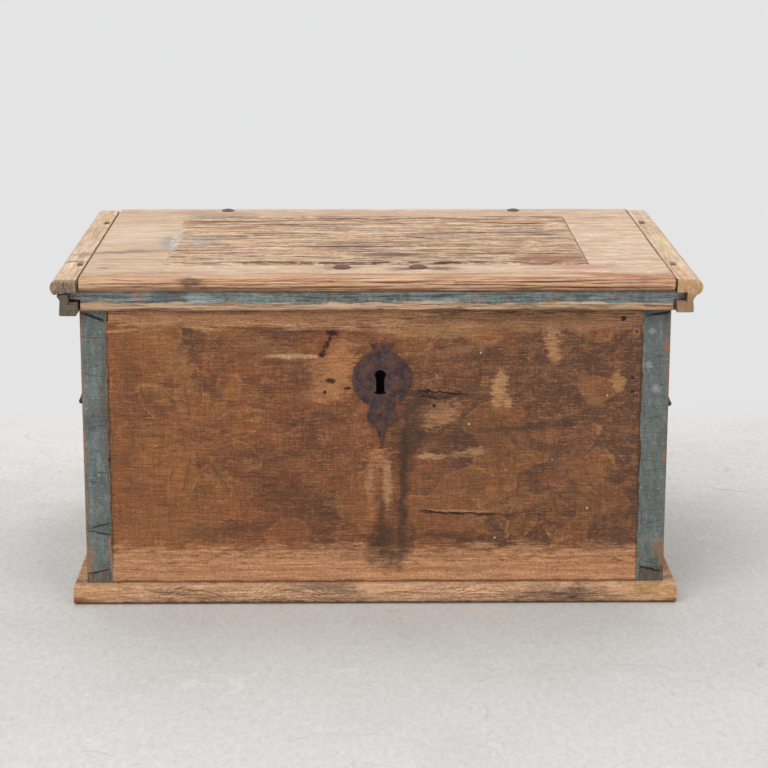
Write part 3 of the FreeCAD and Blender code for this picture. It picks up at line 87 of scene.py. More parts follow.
class ChestColours(bpy.types.PropertyGroup):
    """Colours of the chest's finishes."""
    lid_pale: colour_property("Lid pale", "Sun-bleached early wood of the lid", "#e6cdb2")
    lid_dark: colour_property("Lid dark", "Late wood lines of the lid", "#b9916f")
    field_pale: colour_property("Field pale", "Ridges of the weathered field", "#e8c5a3")
    field_dark: colour_property("Field dark", "Furrows of the weathered field", "#6b4733")
    nose_wood: colour_property("Nose wood", "Handled wood of the lid's front edge", "#d6a178")
    front_pale: colour_property("Front pale", "Bare wood of the front board", "#d39c72")
    front_dark: colour_property("Front dark", "Late wood of the front board", "#95633f")
    glaze_mid: colour_property("Glaze", "Red-brown glaze of the front board", "#754226")
    glaze_warm: colour_property("Glaze warm", "Thin places of the red-brown glaze", "#8c522d")
    glaze_deep: colour_property("Glaze deep", "Thick places of the red-brown glaze", "#503223")
    blue_paint: colour_property("Blue paint", "Blue-green distemper on the corners and the moulding", "#69726f")
    blue_worn: colour_property("Blue worn", "Chalky places of the blue-green distemper", "#8b9593")
    base_pale: colour_property("Base pale", "Early wood of the base planks", "#dbab84")
    base_dark: colour_property("Base dark", "Late wood of the base planks", "#845a3d")
    inner_pale: colour_property("Inner pale", "Bare wood inside the chest", "#b89a78")
    inner_dark: colour_property("Inner dark", "Late wood inside the chest", "#8f6d4b")
    iron_dark: colour_property("Iron dark", "Forge-black iron", "#32262a")
    iron_rust: colour_property("Iron rust", "Rust on the iron", "#5d4038")
    stain: colour_property("Stain", "Damp and iron stains in the wood", "#3c2a22")
    floor: colour_property("Floor", "Floor of the stage", "#d5d4d1")
    backdrop: colour_property("Backdrop", "Backdrop of the stage", "#e4e4e5")


class ChestSizes(bpy.types.PropertyGroup):
    """Sizes of the finishes' marks."""
    front_ring: length_property("Front ring", "Growth ring width of the front board", 3.4)
    lid_ring: length_property("Lid ring", "Growth ring width of the lid", 5.0)
    base_ring: length_property("Base ring", "Growth ring width of the base", 3.2)
    strip_left: length_property("Left strip", "Width of the left corner's paint", 28.5)
    strip_right: length_property("Right strip", "Width of the right corner's paint", 30.5)
    bare_foot: length_property("Bare foot", "Height of the bare strip above the base", 40.0)
    furrow: length_property("Furrow", "Depth of the weathered field's furrows", 1.0)


def add(tree, kind, inputs=(), **settings):
    """Add a node with its settings; inputs, by name or in order, take values or other nodes' outputs."""
    node = tree.nodes.new("ShaderNode" + kind)
    for name, value in settings.items():
        setattr(node, name, value)
    for name, value in inputs.items() if isinstance(inputs, dict) else enumerate(inputs):
        if isinstance(value, bpy.types.NodeSocket):
            tree.links.new(value, node.inputs[name])
        else:
            node.inputs[name].default_value = value
    return node


class Surface:
    """A finish being built up: the bare ground first, then each coat, stain and worn place.

    Places and sizes are in millimetres in the chest's own frame.
    """

    def __init__(self, name, roughness, metallic=0.0):
        self.material = bpy.data.materials.new(name)
        self.material.use_nodes = True
        self.tree = self.material.node_tree
        self.tree.nodes.clear()
        self.roughness = roughness
        self.metallic = metallic
        self.gloss = 0.3
        self.place = add(self.tree, "TexCoord").outputs["Object"]
        split = add(self.tree, "SeparateXYZ", {0: self.place})
        self.axes = {"x": split.outputs[0], "y": split.outputs[1], "z": split.outputs[2]}
        self.colour = (1.0, 1.0, 1.0, 1.0)
        self.height = None
        self.made = {}

    def mottle(self, sizes, detail=3.0, roughness=0.55, shift=0.0):
        """Return an uneven value, mostly 0.3 to 0.7, whose blots have these sizes along X, Y and Z."""
        key = (sizes, detail, roughness, shift)
        if key not in self.made:
            scaled = add(self.tree, "Mapping", {"Vector": self.place, "Location": (shift, shift, shift),
                                                "Scale": tuple(1 / (size * MM) for size in sizes)})
            self.made[key] = self.node("TexNoise", {"Vector": scaled.outputs[0], "Scale": 1.0, "Detail": detail,
                                                    "Roughness": roughness})
        return self.made[key]

    def node(self, kind, inputs=(), **settings):
        """Add a node to the finish and return its first output."""
        return add(self.tree, kind, inputs, **settings).outputs[0]

    def both(self, *masks):
        """Return a mask that is high only where each of the masks is."""
        whole = masks[0]
        for mask in masks[1:]:
            whole = self.node("Math", (whole, mask), operation="MULTIPLY")
        return whole

    def most(self, *masks):
        """Return a mask that is high where any of the masks is."""
        return self.gather(iter(masks))

    def gather(self, masks):
        """Join masks one by one as they are made, which keeps the finish light to render."""
        whole = next(masks)
        for mask in masks:
            whole = self.node("Math", (whole, mask), operation="MAXIMUM")
        return whole

    def spread(self, value, low, high, strength=1.0):
        """Return 0 where the value is at low and the strength where it is at high, with a soft passage."""
        return self.node("MapRange", {0: value, 1: low, 2: high, 4: strength}, interpolation_type="SMOOTHSTEP")

    def blots(self, sizes, low, high, detail=4.0, roughness=0.65, shift=0.0):
        """Return a mask of scattered places: the higher low and high, the fewer there are."""
        return self.spread(self.mottle(sizes, detail, roughness, shift), low, high)

    def wander(self, value, amount, sizes, detail=3.0, shift=0.0):
        """Shift a value by up to about amount, in its own unit, with the blots of mottle."""
        key = ("swing", amount, sizes, detail, shift)
        if key not in self.made:
            self.made[key] = self.node("MapRange", {0: self.mottle(sizes, detail, 0.65, shift), 1: 0.25, 2: 0.75,
                                                    3: -amount, 4: amount}, clamp=False)
        return self.node("Math", (value, self.made[key]), operation="ADD")

    def past(self, axis, edge, soft=0.5, ragged=0.0, sizes=(14, 14, 14), shift=0.0):
        """Return a mask of what lies past a plane, whose border may be ragged."""
        value = self.axes[axis]
        if ragged:
            value = self.wander(value, ragged * MM, sizes, shift=shift)
        return self.spread(value, (edge - soft) * MM, (edge + soft) * MM)

    def before(self, axis, edge, soft=0.5, *ragged, **more):
        """Return a mask of what lies before a plane: past it, with the border's two sides swapped."""
        return self.past(axis, edge, -soft, *ragged, **more)

    def frayed(self, amount, sizes):
        """Return the place shifted unevenly by up to about amount in millimetres, which frays every border."""
        key = ("frayed", amount, sizes)
        if key not in self.made:
            scaled = add(self.tree, "Mapping", {"Vector": self.place,
                                                "Scale": tuple(1 / (size * MM) for size in sizes)})
            noise = add(self.tree, "TexNoise", {"Vector": scaled.outputs[0], "Scale": 1.0, "Detail": 3.0,
                                                "Roughness": 0.7}).outputs["Color"]
            swing = self.node("VectorMath", {0: noise, 1: (0.5, 0.5, 0.5)}, operation="SUBTRACT")
            self.made[key] = self.node("VectorMath", {0: swing, 1: (4 * amount * MM,) * 3, 2: self.place},
                                       operation="MULTIPLY_ADD")
        return self.made[key]

    def patch(self, centre, reach, soft=0.3, ragged=0.35, sizes=(9, 9, 9), turn=(0.0, 0.0, 0.0), strength=1.0):
        """Return a mask of a roundish place with a soft ragged border."""
        fray = 2.0 ** round(math.log2(max(ragged * min(reach), 0.25)))
        local = add(self.tree, "Mapping", {
            "Vector": self.frayed(fray, sizes), "Location": tuple(v * MM for v in centre),
            "Rotation": tuple(math.radians(v) for v in turn), "Scale": tuple(2 * v * MM for v in reach),
        }, vector_type="TEXTURE")
        near = add(self.tree, "TexGradient", {"Vector": local.outputs[0]}, gradient_type="SPHERICAL").outputs[1]
        return self.spread(near, (1 - soft) / 2, (1 + soft) / 2, strength)

    def line(self, start, end, width, waver=1.0, size=14, face="y", strength=1.0):
        """Return a mask of a thin wavering line that thins out to its ends.

        The ends are X and Z on the front, and X and Y on the lid's top, which faces up Z.
        """
        half = math.hypot(end[0] - start[0], end[1] - start[1]) / 2
        slope = math.degrees(math.atan2(end[1] - start[1], end[0] - start[0]))
        middle = ((start[0] + end[0]) / 2, (start[1] + end[1]) / 2)
        if face == "y":
            return self.patch((middle[0], FRONT, middle[1]), (half, 30, width / 2), 0.4, 2 * waver / width,
                              (size, size, size), (0, -slope, 0), strength)
        return self.patch((middle[0], middle[1], LID_TOP), (half, width / 2, 12), 0.4, 2 * waver / width,
                          (size, size, size), (0, 0, slope), strength)

    def outline(self, value, level, width):
        """Return a mask of the thin border where an uneven value crosses a level."""
        off = self.node("Math", (value, level), operation="SUBTRACT")
        return self.spread(self.node("Math", (off,), operation="ABSOLUTE"), width, width * 0.3)

    def cover(self, mask, colour, strength=1.0):
        """Lay a colour over what is there, where the mask is high, or each mask of several."""
        if isinstance(mask, tuple):
            mask = self.both(*mask)
        if strength != 1.0:
            mask = self.node("Math", (mask, strength), operation="MULTIPLY")
        if isinstance(colour, str):
            colour = linear(colour)
        if not isinstance(colour, bpy.types.NodeSocket):
            colour = tuple(colour)[:3] + (1.0,)
        self.colour = add(self.tree, "Mix", {0: mask, 6: self.colour, 7: colour}, data_type="RGBA").outputs[2]

    def dapple(self, mask, *rows):
        """Scatter blots of one colour after another, all over or where the mask is high.

        Each row holds the blots' sizes, low, high, roughness and shift, their colour and its strength.
        """
        for sizes, low, high, roughness, shift, colour, strength in rows:
            blots = self.blots(sizes, low, high, 4.0, roughness, shift)
            self.cover(blots if mask is None else (mask, blots), colour, strength)

    def blend(self, mask, under):
        """Let what was there before show wherever the mask is low."""
        self.colour = add(self.tree, "Mix", {0: mask, 6: under, 7: self.colour}, data_type="RGBA").outputs[2]

    def shade(self, value, least, greatest, mask=1.0):
        """Darken and lighten what is there by an uneven value."""
        level = self.node("MapRange", {0: value, 1: 0.3, 2: 0.7, 3: least, 4: greatest})
        self.colour = self.node("HueSaturation", {"Value": level, "Fac": mask, "Color": self.colour})

    def relief(self, value, depth):
        """Raise the surface by the value times a depth in millimetres."""
        raised = self.node("Math", (value, depth), operation="MULTIPLY")
        self.height = raised if self.height is None else self.node("Math", (self.height, raised), operation="ADD")

    def wood_relief(self, fibres, late, grit):
        """Raise the pine's fibres, late wood and grit, each by its own depth in millimetres."""
        self.relief(self.fibres, fibres)
        self.relief(self.late, late)
        self.relief(self.grit, grit)

    def ground(self, colour):
        """Start again from one even colour."""
        self.colour = tuple(colour) + (1.0,)

    def pine(self, grain, heart, ring, pale, dark, stretch=9.0, waver=5.0, contrast=0.75, fibre=0.45, coarse=1.0):
        """Lay a ground of pine sawn from a log whose heart runs along the grain axis.

        The late wood is drawn in bands of unequal width, the fibres as short dark strokes along
        the grain; both are a little coarser than in the wood, or they wouldn't show.
        """
        along = "xyz".index(grain)

        def lengthwise(across, length):
            sizes = [across] * 3
            sizes[along] = length
            return tuple(sizes)

        scale = [1.0, 1.0, 1.0]
        scale[along] = stretch
        log = add(self.tree, "Mapping", {"Vector": self.place, "Location": tuple(v * MM for v in heart),
                                         "Scale": tuple(scale)}, vector_type="TEXTURE")
        far = add(self.tree, "VectorMath", {0: log.outputs[0]}, operation="LENGTH").outputs["Value"]
        far = self.wander(far, waver * MM, lengthwise(42, 240), 3.0)
        years = self.node("TexNoise", {"W": far, "Scale": 1 / (2 * ring), "Detail": 3.0, "Roughness": 0.7},
                          noise_dimensions="1D")
        self.late = self.spread(years, 0.46, 0.68)
        self.fibres = self.blots(lengthwise(1.6 * coarse, 42), 0.42, 0.66, 4.0, 0.7)
        self.grit = self.mottle((7.0, 7.0, 7.0), 4.0, 0.82)
        self.ground(pale)
        self.cover(self.late, dark, contrast)
        self.cover(self.fibres, dark, fibre)
        self.shade(self.grit, 0.88, 1.1)
        self.shade(self.mottle(lengthwise(1.5 * coarse, 26), 4.0, 0.75, 31.0), 0.84, 1.13)

    def blue_coat(self, mask, colours):
        """Brush on the chalky blue-green distemper, thin enough that the wood shows in places."""
        self.cover(mask, colours.blue_paint)
        self.dapple(mask,
                    ((6, 6, 30), 0.42, 0.66, 0.75, 0, colours.blue_worn, 0.65),
                    ((26, 26, 40), 0.48, 0.66, 0.7, 2, "#4f5855", 0.6),
                    ((9, 9, 6), 0.55, 0.62, 0.8, 3, "#7d6a59", 0.75))
        self.cover((mask, self.blots((5, 5, 5), 0.66, 0.70, 3.0, 0.6, 6.0)), "#a9afac", 0.75)
        self.dapple(mask, ((30, 30, 1.6), 0.60, 0.64, 0.7, 57, "#3b4341", 0.7))
        self.shade(self.mottle((2.2, 2.2, 4.0), 4.0, 0.8, 9.0), 0.68, 1.34, mask)

    def finish(self, roughness_range=None):
        """Join colour and relief to the shader and return the material."""
        shader = add(self.tree, "BsdfPrincipled", {"Base Color": self.colour, "Roughness": self.roughness,
                                                   "Metallic": self.metallic, "Specular IOR Level": self.gloss})
        if roughness_range:
            mask, low, high = roughness_range
            rough = self.node("MapRange", {0: mask, 1: 0.0, 2: 1.0, 3: low, 4: high})
            self.tree.links.new(rough, shader.inputs["Roughness"])
        if self.height is not None:
            bump = add(self.tree, "Bump", {"Strength": 1.0, "Distance": MM, "Height": self.height})
            self.tree.links.new(bump.outputs[0], shader.inputs["Normal"])
        output = add(self.tree, "OutputMaterial")
        self.tree.links.new(shader.outputs[0], output.inputs[0])
        return self.material


def dress(material, *names):
    """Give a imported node, or a new piece, its finish."""
    for name in names:
        piece = bpy.data.objects[name]
        if not piece.material_slots:
            piece.data.materials.append(material)
        for slot in piece.material_slots:
            slot.material = material


def faded_figures(s):
    """Generic brush figures, all but rubbed away: loose loops and two rosettes of nine petals."""
    petal_count = 9
    rubbed = s.blots((18, 18, 14), 0.42, 0.58, 4.0, 0.75, 2.0)
    loops = s.mottle((88, 88, 70), 1.5, 0.4, 33.0)
    s.cover(s.spread(loops, 0.51, 0.54, 0.45), "#955d33")
    s.cover((s.outline(loops, 0.53, 0.013), rubbed), "#a9774a", 0.36)
    s.cover((s.outline(loops, 0.50, 0.010), rubbed), "#422a1e", 0.30)
    for centre_x, centre_z, turn in ((-205.0, 196.0, 0.4), (188.0, 150.0, 1.1)):
        across = s.node("Math", (s.axes["x"], centre_x * MM), operation="SUBTRACT")
        up = s.node("Math", (s.axes["z"], centre_z * MM), operation="SUBTRACT")
        angle = s.node("Math", (up, across), operation="ARCTAN2")
        phase = s.node("Math", (angle, petal_count / 2, turn), operation="MULTIPLY_ADD")
        wave = s.node("Math", (phase,), operation="SINE")
        lobes = s.node("Math", (wave,), operation="ABSOLUTE")
        across_squared = s.node("Math", (across, across), operation="MULTIPLY")
        up_squared = s.node("Math", (up, up), operation="MULTIPLY")
        far = s.node("Math", (across_squared, up_squared), operation="ADD")
        far = s.wander(s.node("Math", (far,), operation="SQRT"), 7 * MM, (20, 20, 20))
        reach = s.node("Math", (lobes, 38 * MM, 46 * MM), operation="MULTIPLY_ADD")
        edge = s.node("Math", (far, reach), operation="SUBTRACT")
        petals = s.both(s.spread(edge, 2 * MM, -4 * MM), s.spread(far, 16 * MM, 26 * MM), rubbed)
        finer = s.node("Math", (phase, 4.0), operation="MULTIPLY")
        ribs = s.spread(s.node("Math", (finer,), operation="SINE"), 0.4, 0.9)
        s.cover(petals, "#9a6437", 0.55)
        s.cover((petals, ribs), "#452b1f", 0.45)
        s.cover((s.outline(edge, -1 * MM, 3.5 * MM), rubbed), "#b07c4c", 0.5)


def worn_glaze(s, strokes):
    """Worn places of the glaze, where bare ridges of the grain show as fine level lines.

    Each place has its X and Z, half its width and height, and its turn in degrees; so have the stains.
    """
    broken = s.node("Math", (s.spread(strokes, 0.38, 0.52, 0.6), 0.4), operation="ADD")
    for x, z, wide, high, turn, code, strength in (
            (138, 251, 8, 22, 8, "#bd8c62", 0.95), (147, 234, 4, 6, 30, "#bd8c62", 0.9),
            (196, 303, 8, 24, -6, "#b9875c", 0.9), (270, 259, 6, 15, 0, "#b48450", 0.8),
            (242, 240, 8, 17, -35, "#986a40", 0.6), (70, 222, 24, 18, -30, "#b8855a", 0.85),
            (104, 176, 22, 4, -8, "#c0936a", 0.8), (62, 171, 18, 3, 0, "#c3986a", 0.8),
            (-46, 276, 24, 36, 15, "#b87e52", 0.85), (-60, 244, 22, 10, 0, "#b87e52", 0.6),
            (2, 168, 11, 12, 0, "#bd7d55", 0.9), (12, 140, 5, 30, 0, "#b98a66", 0.8),
            (-8, 138, 4, 24, 0, "#b58564", 0.7), (-130, 300, 60, 12, 20, "#a06f43", 0.4),
            (-235, 300, 42, 14, 40, "#a57246", 0.4), (-220, 268, 12, 24, -35, "#a57345", 0.4),
            (60, 314, 60, 7, 0, "#ad8057", 0.7), (180, 326, 130, 10, 0, "#a07350", 0.7),
            (-150, 332, 150, 9, 0, "#b5825c", 0.7), (150, 112, 70, 6, -20, "#9a6c48", 0.5),
            (-230, 84, 70, 12, 4, "#9a6a45", 0.4), (208, 145, 26, 5, 0, "#8a5334", 0.6),
            (95, 295, 50, 6, -12, "#a5764c", 0.5)):
        spot = s.patch((x, FRONT, z), (wide, 20, high), 0.35, 1.1, (11, 11, 3.5), (0, turn, 0), strength)
        s.cover((spot, broken), code)
    s.cover(s.line((-123, 287.5), (-52, 287), 5.0, 1.5, 30), "#cfa078", 0.85)


def front_stains(s, colours):
    """Damp and iron stains, most of them below the lock."""
    for x, z, wide, high, turn, strength in (
            (30, 135, 5, 76, 2, 0.75), (5, 95, 5, 40, 0, 0.45), (12, 66, 24, 24, 0, 0.7), (40, 195, 12, 46, 10, 0.55),
            (74, 243, 34, 3.5, 0, 0.8), (60, 234, 26, 12, 0, 0.4), (172, 206, 46, 5, -5, 0.55),
            (120, 190, 70, 26, 0, 0.25), (80, 78, 30, 5, 0, 0.6), (-170, 84, 48, 9, -8, 0.45),
            (-105, 130, 60, 34, 35, 0.3), (-85, 258, 12, 34, 0, 0.3), (-70, 316, 46, 4, 0, 0.4),
            (-275, 230, 12, 80, 0, 0.25), (120, 330, 170, 4, 0, 0.3), (250, 120, 60, 30, 0, 0.2)):
        spot = s.patch((x, FRONT, z), (wide, 20, high), 0.6, 0.9, (16, 16, 9), (0, turn, 0), strength)
        s.cover(spot, colours.stain)


def holes_and_splits(s):
    """Old nail holes, a long shake and the splits round the lock; return their mask."""
    holes = s.gather(s.patch((x, FRONT, z), (r, 20, r), 0.3, 0.5, (3, 3, 3)) for x, z, r in (
        (-58, 246, 1.8), (57, 247, 2.4),
        (64, 230, 2.0), (274, 330, 2.6), (-31, 251, 1.4), (286, 262, 1.5), (-300, 168, 1.4), (286, 246, 1.5)))
    splits = s.gather(s.line(start, end, width, waver, size) for start, end, width, waver, size in (
        ((-56, 314.5), (-43, 313), 4.4, 2.6, 3), ((-51, 311), (-60, 291), 2.6, 3.4, 4),
        ((-65, 288.5), (-57, 289), 5.4, 2.2, 3), ((-57, 259.5), (-46, 258.5), 4.4, 2.4, 3),
        ((-37, 251), (-30, 250), 2.4, 1.6, 3), ((45, 247), (96, 244), 1.5, 2.0, 12),
        ((46, 241), (78, 238), 1.2, 2.0, 9), ((55, 105.5), (132, 102.5), 1.9, 2.4, 9),
        ((50, 108), (80, 104), 1.2, 2.0, 4), ((112, 101), (140, 104), 1.1, 2.0, 4),
        ((-298, 338), (-298, 326), 1.6, 1.2, 9)))
    s.cover(s.patch((-56, FRONT, 301), (9, 20, 19), 0.8, 0.8, (5, 5, 5), (0, 24, 0), 0.6), "#7c3f26")
    holes = s.most(holes, splits)
    s.cover(holes, "#1d120d", 0.92)
    return holes


def front_board_finish(colours, sizes):
    """Pine with a worn red-brown glaze over faded brush figures; the corners are blue-green.

    The glaze was brushed both ways, so that it shows a fine weave of strokes; the figures are
    rubbed down to thin pale outlines and a warmer ground.
    """
    s = Surface("glazed_pine_front", 0.66)
    s.pine("x", (60, FRONT + 75, 160), sizes.front_ring, colours.inner_pale, colours.inner_dark, stretch=12.0,
           fibre=0.3)
    bare_inside = s.colour
    strokes_up = s.mottle((1.5, 1.5, 30), 4.0, 0.75, 5.0)
    strokes_across = s.mottle((26, 26, 1.4), 4.0, 0.75, 8.0)
    speckle = s.mottle((3.0, 3.0, 3.0), 4.0, 0.85, 3.0)
    # Scoured wood under the glaze, orange-brown
    s.ground(colours.front_pale)
    s.cover(s.late, colours.front_dark, 0.4)
    s.cover(s.fibres, colours.front_dark, 0.45)
    s.dapple(None, ((60, 60, 9), 0.48, 0.66, 0.65, 21, "#a87652", 0.5))
    s.shade(s.grit, 0.86, 1.12)
    wood = s.colour
    # The red-brown glaze, thicker and redder to the right
    s.ground(colours.glaze_mid)
    s.cover(s.past("x", 70, 150, 60), "#553a2f", 0.85)
    drift = s.node("MapRange", {0: s.axes["x"], 1: -0.30, 2: 0.16, 3: 0.03, 4: -0.05})
    cloud = s.node("Math", (s.mottle((62, 62, 48), 4.0, 0.72), drift), operation="ADD")
    s.cover(s.spread(cloud, 0.52, 0.38, 0.75), colours.glaze_deep)
    s.cover(s.spread(cloud, 0.48, 0.64, 0.75), colours.glaze_warm)
    s.dapple(None,
             ((20, 20, 11), 0.50, 0.60, 0.8, 9, "#96653f", 0.5),
             ((26, 26, 12), 0.53, 0.62, 0.8, 14, "#54382a", 0.5),
             ((7, 7, 1.6), 0.57, 0.62, 0.8, 5, "#b98058", 0.6),
             ((12, 12, 1.5), 0.56, 0.62, 0.8, 17, "#3c261c", 0.6))
    faded_figures(s)
    s.shade(strokes_up, 0.68, 1.34)
    s.shade(strokes_across, 0.68, 1.34)
    # The glaze reaches down to a ragged tide line above the base, and is rubbed thin at the top
    foot = BASE_TOP + sizes.bare_foot / MM
    flecks = s.both(s.past("z", foot - 22, 12.0, 16.0, (50, 50, 6)), s.blots((14, 14, 3.0), 0.50, 0.70))
    low_edge = s.most(s.past("z", foot, 10.0, 14.0, (26, 26, 5)), flecks)
    high_edge = s.before("z", 322.0, 7.0, 14.0, (40, 40, 7), shift=2.0)
    coat = s.both(s.most(high_edge, s.past("x", 60, 60, 60, (40, 40, 20))), low_edge, 0.93)
    s.blend(coat, wood)
    s.shade(strokes_across, 0.82, 1.16)
    top = s.past("z", 322, 5, 8, (40, 40, 7), shift=2.0)
    s.dapple(top,
             ((40, 40, 1.5), 0.49, 0.53, 0.7, 41, "#d9a67a", 0.75),
             ((30, 30, 1.4), 0.53, 0.57, 0.7, 43, "#55352a", 0.8))
    worn_glaze(s, strokes_across)
    front_stains(s, colours)
    # A painted shadow darkens the board's top edge under the lid's overhang; the board is also darker along its bottom
    # edge, just above the base
    s.cover(s.past("z", 337.5, 3.0, 2.5, (20, 20, 20)), "#5a3a28", 0.45)
    s.cover(s.before("z", 25.0, 1.4, 1.2, (20, 20, 20)), "#3f291d", 0.7)
    # Pale upper lip of the long shake low on the right
    s.cover(s.line((50, 108.5), (136, 106), 2.6, 1.5, 10), "#b98f63", 0.6)
    # Specks of whitewash, most of them on the right half
    cells = add(s.tree, "TexVoronoi", {"Vector": s.place, "Scale": 52.0, "Randomness": 1.0})
    dots = s.spread(cells.outputs["Distance"], 0.080, 0.04)
    some = s.blots((45, 45, 45), 0.48, 0.54, 2.0, 0.5, 12.0)
    s.cover((dots, some, s.past("x", 75, 40)), "#d8cfc4", 0.85)
    s.shade(speckle, 0.62, 1.42)
    holes = holes_and_splits(s)
    outside = s.before("y", FRONT + 2.0, 0.6)
    left_edge, right_edge = LEFT + sizes.strip_left / MM, RIGHT - sizes.strip_right / MM
    left_strip = s.before("x", left_edge, 0.5, 2.0, (5, 5, 22))
    right_strip = s.past("x", right_edge, 0.5, 2.0, (5, 5, 22))
    seam = s.gather(s.patch((x, FRONT, 180), (1.8, 20, 170), 0.4, 0.9, (4, 4, 22))
                    for x in (left_edge + 0.8, right_edge - 0.8))
    s.cover(seam, "#39261c", 0.65)
    # Bare on the inside, and near-black in the keyhole, painted shade inside the hole
    s.blend(outside, bare_inside)
    s.cover(s.patch((3.8, FRONT + 14, 262), (17, 60, 32), 0.1, 0.1), "#17110d", 0.95)
    # Blue-green corners, bare again along the arrises
    ends = s.most(s.before("x", LEFT + 1.0, 0.3), s.past("x", RIGHT - 1.0, 0.3),
                  s.both(s.most(left_strip, right_strip), outside))
    s.blue_coat(ends, colours)
    worn_corner(s, ends)
    s.relief(s.late, 0.12)
    s.relief(s.fibres, 0.25)
    s.relief(s.grit, 0.8)
    s.relief(strokes_across, 0.7)
    s.relief(strokes_up, 0.4)
    s.relief(s.both(holes, outside), -2.0)
    return s.finish((coat, 0.76, 0.6))


def worn_corner(s, ends):
    """Wear the paint off the box's upright corners, most of all low on the left and right."""
    face = s.before("y", FRONT + 3.0, 0.8)
    arris = s.most(s.before("x", LEFT + 1.8, 1.0, 2.2, (5, 5, 20)),
                   s.past("x", RIGHT - 1.6, 0.8, 2.2, (5, 5, 17)))
    bare = s.gather(s.patch((x, FRONT, z), (wide, 20, high), 0.2, 0.8, (6, 6, 9)) for x, z, wide, high in (
        (LEFT, 42, 8, 24), (LEFT + 28, 58, 1.8, 22), (RIGHT - 6, 64, 8, 11), (RIGHT - 1, 46, 4, 12),
        (RIGHT - 2, 298, 4, 10), (RIGHT - 1, 262, 2.5, 16), (RIGHT - 2, 170, 3, 9)))
    s.cover((s.most(arris, bare), face, ends), "#a67551", 0.75)
    pin = s.gather(s.line((LEFT + 3, 86 + 1.0 * way), (LEFT + 29, 86 + 7.0 * way), 1.8, 1.0, 9) for way in (-1, 1))
    s.cover((pin, face, ends), "#241b15", 0.85)
    s.cover((s.patch((LEFT + 26, FRONT, 225), (5, 12, 90), 0.5, 0.9, (6, 6, 9), strength=0.5), ends), "#5d4a3b")
    s.cover(s.patch((289, FRONT, 315), (4.2, 6, 4.5), 0.2, 0.4, (3, 3, 3), strength=0.7), "#a5794a")
    s.cover(s.patch((289, FRONT, 315), (1.8, 6, 2.0), 0.2, 0.0, strength=0.9), "#3d2e2a")
    dabs = s.gather(s.patch((x, FRONT, z), (size, 20, size), 0.5, 0.6, (4, 4, 4)) for x, z, size in (
        (306, 316, 3.4), (303, 277, 4.0), (312, 250, 4.6)))
    s.cover((ends, s.past("x", 0, 1)), "#4c5451", 0.22)
    s.cover((dabs, ends), "#a9aeaa", 0.5)
    s.cover((s.patch((308, FRONT, 72), (20, 20, 7), 0.5, 0.9, (6, 6, 9), strength=0.5), ends), "#8b908c")


def side_board_finish(colours, sizes):
    """The same blue-green distemper outside and on the pins' ends, bare pine inside."""
    s = Surface("distempered_pine_sides", 0.72)
    s.pine("y", (0, 0, 150), sizes.front_ring, colours.inner_pale, colours.inner_dark, fibre=0.3)
    ends = s.before("y", FRONT + 3.0, 0.5)
    side = s.most(s.before("x", LEFT + 2.0, 0.5), s.past("x", RIGHT - 2.0, 0.5))
    back_ends = s.past("y", BACK - 3.0, 0.5)
    s.blue_coat(s.most(side, ends), colours)
    s.cover((back_ends, s.fibres), colours.inner_dark, 0.7)
    worn_corner(s, ends)
    side = s.both(side, s.past("y", FRONT + 3.0, 0.5))
    worn_side(s, side)
    # The lowest pins have lost their paint: grey end grain under a dark open joint
    for corner, reach, rise, at_left, code in ((LEFT, 30, 39.0, True, "#7b6f61"), (RIGHT, -32, 40.0, False, "#6b6255")):
        foot = s.both(s.before("z", rise + 1.0, 2.5, 1.5), (s.before if at_left else s.past)("x", 0, 1))
        s.cover((foot, ends), code, 0.75)
        s.cover((foot, ends, s.blots((2.0, 9, 9), 0.46, 0.58, 4.0, 0.7)), "#40362c", 0.6)
        joint = s.line((corner, rise - 6), (corner + reach, rise + 1), 2.6, 1.0, 8)
        s.cover((joint, ends), "#1e1611", 0.9)
    s.cover((s.line((LEFT, 338), (LEFT + 31, 327), 3.0, 0.8, 8), ends), "#1e1611", 0.9)
    s.cover((s.line((RIGHT, 338), (RIGHT - 28, 333), 2.6, 0.8, 8), ends), "#1e1611", 0.9)
    s.wood_relief(0.25, 0.12, 0.6)
    return s.finish()


def worn_side(s, side):
    """Wear a painted side: scuffs, a pale foot, rust below the handle's eyes and its rubbed arc."""
    s.cover((s.blots((14, 26, 4), 0.57, 0.65, 4.0, 0.75, 4.0), side), "#8f7052", 0.6)
    s.cover((s.blots((70, 90, 60), 0.50, 0.64, 4.0, 0.75, 14.0), side), "#8a928f", 0.4)
    s.cover((s.outline(s.mottle((60, 60, 60), 2.0, 0.5, 41.0), 0.5, 0.006),
             s.blots((30, 30, 30), 0.5, 0.6, 3.0, 0.6, 44.0), side), "#9ba19e", 0.5)
    s.cover((s.before("z", 56, 25, 24, (40, 40, 40)), side), "#8f7358", 0.55)
    s.cover((s.past("z", 316, 12, 16, (40, 40, 40)), side), "#86705c", 0.4)
    edge = s.most(s.before("y", FRONT + 6, 4, 6, (20, 20, 20)), s.past("y", BACK - 6, 4, 6, (20, 20, 20)))
    s.cover((edge, side), "#a27a58", 0.45)
    low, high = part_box("left_handle_eyes")
    middle = (low[2] + high[2]) / 2 / MM
    for y in (low[1] / MM + 5, high[1] / MM - 5):
        s.cover((s.patch((0, y, middle - 16), (900, 6, 24), 0.6, 0.8, (9, 9, 20)), side), "#6d4530", 0.6)
    rubbed = s.patch((0, (low[1] + high[1]) / 2 / MM, middle - 52), (900, 62, 8), 0.4, 0.7, (12, 12, 12))
    s.cover((rubbed, side), "#9a7a5c", 0.55)


